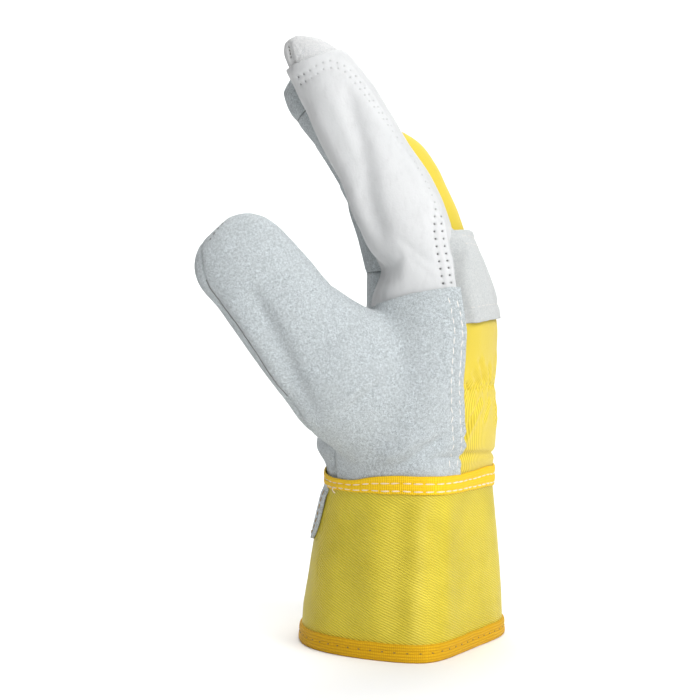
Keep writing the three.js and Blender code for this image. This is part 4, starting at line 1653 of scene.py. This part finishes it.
class GLOVE_OT_tape_stitches(bpy.types.Operator):
    """Sew the wrist tape, the hem's binding and the pulse patch"""

    bl_idname = "glove.tape_stitches"
    bl_label = "Stitches in tape"

    def execute(self, context):
        band = surface_of("wrist_tape_band")
        bm = bmesh.new()
        for seed, (z, grow) in enumerate(TAPE_ROWS):
            row = closed_line(cuff_ring(z, grow, ROW_POINTS))
            row[:, 2] = sunk_tape(row) + 0.3 * noise_at(row, 12, 13 + seed)
            sew(bm, band, row, size_of("tape_stitch"), 0.9, 1.35, 0.07, 30 + seed)
        # The loose thread end below the tape
        row = cuff_ring(66.9, 1.1, ROW_POINTS)
        start = row[np.argmin(np.linalg.norm(row - seen_at(band, 334, 489), axis=1))]
        loose = start + np.array([(0, 0, 0), (-0.6, -0.9, -0.4), (-0.2, -1.1, -1.3), (0.7, -0.9, -2.1)])
        radius = size_of("thread") / 2 * 0.8
        for a, b in zip(loose, loose[1:]):
            along = Vector(b - a)
            basis = along.to_track_quat("Z", "Y").to_matrix().to_4x4()
            add_thread(bm, (a + b) / 2, basis, (radius, radius, along.length * 0.62))
        add_stitches("tape_stitches", bm, "tape_thread")

        bm = bmesh.new()
        binding = surface_of("hem_binding_tape")
        # Tiny dark dots round the hem: painted shade of the needle holes
        sew(bm, binding, closed_line(cuff_ring(3.9, 0.9, ROW_POINTS)), 5.4, 0.22, 0.9, 0.3, 40)
        patch = surface_of("pulse_patch_suede")
        low = [(y, z) for y, z in patch_line(2.4) if z < TAPE_LOW - 0.8]
        row = [patch.ray_cast(Vector((-90, y, z)), Vector((1, 0, 0)))[0] for y, z in low]
        sew(bm, patch, np.array([place for place in row if place]), 3.0, 0.8, 1.0, 0.05, 41)
        add_stitches("binding_stitches", bm, "orange_thread_painted_with_shade")
        return {"FINISHED"}


# Stage


LIGHT_OF_WORLD = 0.13
AIM = (0, 0, 0.13)
# Name, place, where it points, size and power
LAMPS = (
    ("Key", (0.8, -0.65, 0.75), AIM, 0.6, 9.8),
    ("Fill", (0.2, -1.1, 0.6), AIM, 0.8, 8.2),
    ("Top", (-0.1, 0.1, 1.2), AIM, 0.8, 4.4),
    ("Backdrop", (0, 0.9, 1.8), (0, 2.0, 0.6), 1.5, 40),
)


def area_light(name, place, target, size, power):
    lamp = bpy.data.lights.new(name, "AREA")
    lamp.size = size
    lamp.energy = power
    thing = linked(name, lamp)
    thing.location = place
    thing.rotation_euler = (Vector(target) - Vector(place)).to_track_quat("-Z", "Y").to_euler()


class GLOVE_OT_stage(bpy.types.Operator):
    """Set the pale floor, the soft lights and the camera"""

    bl_idname = "glove.stage"
    bl_label = "Stage"

    def execute(self, context):
        scene = context.scene
        bm = bmesh.new()
        bmesh.ops.create_grid(bm, x_segments=1, y_segments=1, size=2.0)
        far_edge = max(bm.edges, key=lambda edge: edge.verts[0].co.y + edge.verts[1].co.y)
        wall = bmesh.ops.extrude_edge_only(bm, edges=[far_edge])["geom"]
        upper = [item for item in wall if isinstance(item, bmesh.types.BMVert)]
        bmesh.ops.translate(bm, vec=(0, 0, 3), verts=upper)
        bmesh.ops.bevel(bm, geom=[far_edge], offset=0.8, offset_type="OFFSET", segments=24, profile=0.5,
                        affect="EDGES", material=-1)
        paper = Shader("Pale floor", Base_Color=(0.9, 0.9, 0.9, 1), Roughness=0.9, Specular_IOR_Level=0.1)
        floor = mesh_object("floor", bm, paper.material)

        world = bpy.data.worlds.new("Soft light")
        world.use_nodes = True
        background = world.node_tree.nodes["Background"]
        background.inputs["Color"].default_value = (1, 1, 1, 1)
        background.inputs["Strength"].default_value = LIGHT_OF_WORLD
        scene.world = world
        for lamp in LAMPS:
            area_light(*lamp)

        lens = bpy.data.cameras.new("Camera")
        lens.sensor_width = 36.0
        lens.lens = lens.sensor_width * FOCAL / PICTURE
        lens.shift_y = (HORIZON - PICTURE / 2) / PICTURE
        lens.clip_start, lens.clip_end = 0.01, 20.0
        camera = linked("Camera", lens)
        camera.location = TO_FRAME @ EYE
        camera.rotation_euler = (math.pi / 2, 0, 0)
        scene.camera = camera
        scene.view_settings.view_transform = "Standard"
        return {"FINISHED"}


OPERATORS = (
    GLOVE_OT_stage,
    GLOVE_OT_suede_panels,
    GLOVE_OT_hand_back,
    GLOVE_OT_index_finger,
    GLOVE_OT_other_fingers,
    GLOVE_OT_knuckle_strap,
    GLOVE_OT_tapes,
    GLOVE_OT_cuff,
    GLOVE_OT_pulse_patch,
    GLOVE_OT_leather_stitches,
    GLOVE_OT_tape_stitches,
)


class GLOVE_PT_sidebar(bpy.types.Panel):
    """Lists the sizes, the colours and the pieces of the glove"""

    bl_idname = "GLOVE_PT_sidebar"
    bl_label = "Work glove"
    bl_space_type = "VIEW_3D"
    bl_region_type = "UI"
    bl_category = "Glove"

    def draw(self, context):
        for settings in (context.scene.glove_sizes, context.scene.glove_colours):
            for name in type(settings).__annotations__:
                self.layout.prop(settings, name)
        for operator in OPERATORS:
            self.layout.operator(operator.bl_idname)


CLASSES = (GloveSizes, GloveColours, *OPERATORS, GLOVE_PT_sidebar)


def register():
    for item in CLASSES:
        bpy.utils.register_class(item)
    bpy.types.Scene.glove_sizes = bpy.props.PointerProperty(type=GloveSizes)
    bpy.types.Scene.glove_colours = bpy.props.PointerProperty(type=GloveColours)


def unregister():
    del bpy.types.Scene.glove_colours
    del bpy.types.Scene.glove_sizes
    for item in reversed(CLASSES):
        bpy.utils.unregister_class(item)


def main():
    """Registers the add-on and builds every piece."""
    register()
    for operator in OPERATORS:
        group, name = operator.bl_idname.split(".")
        getattr(getattr(bpy.ops, group), name)()


if __name__ == "__main__":
    main()
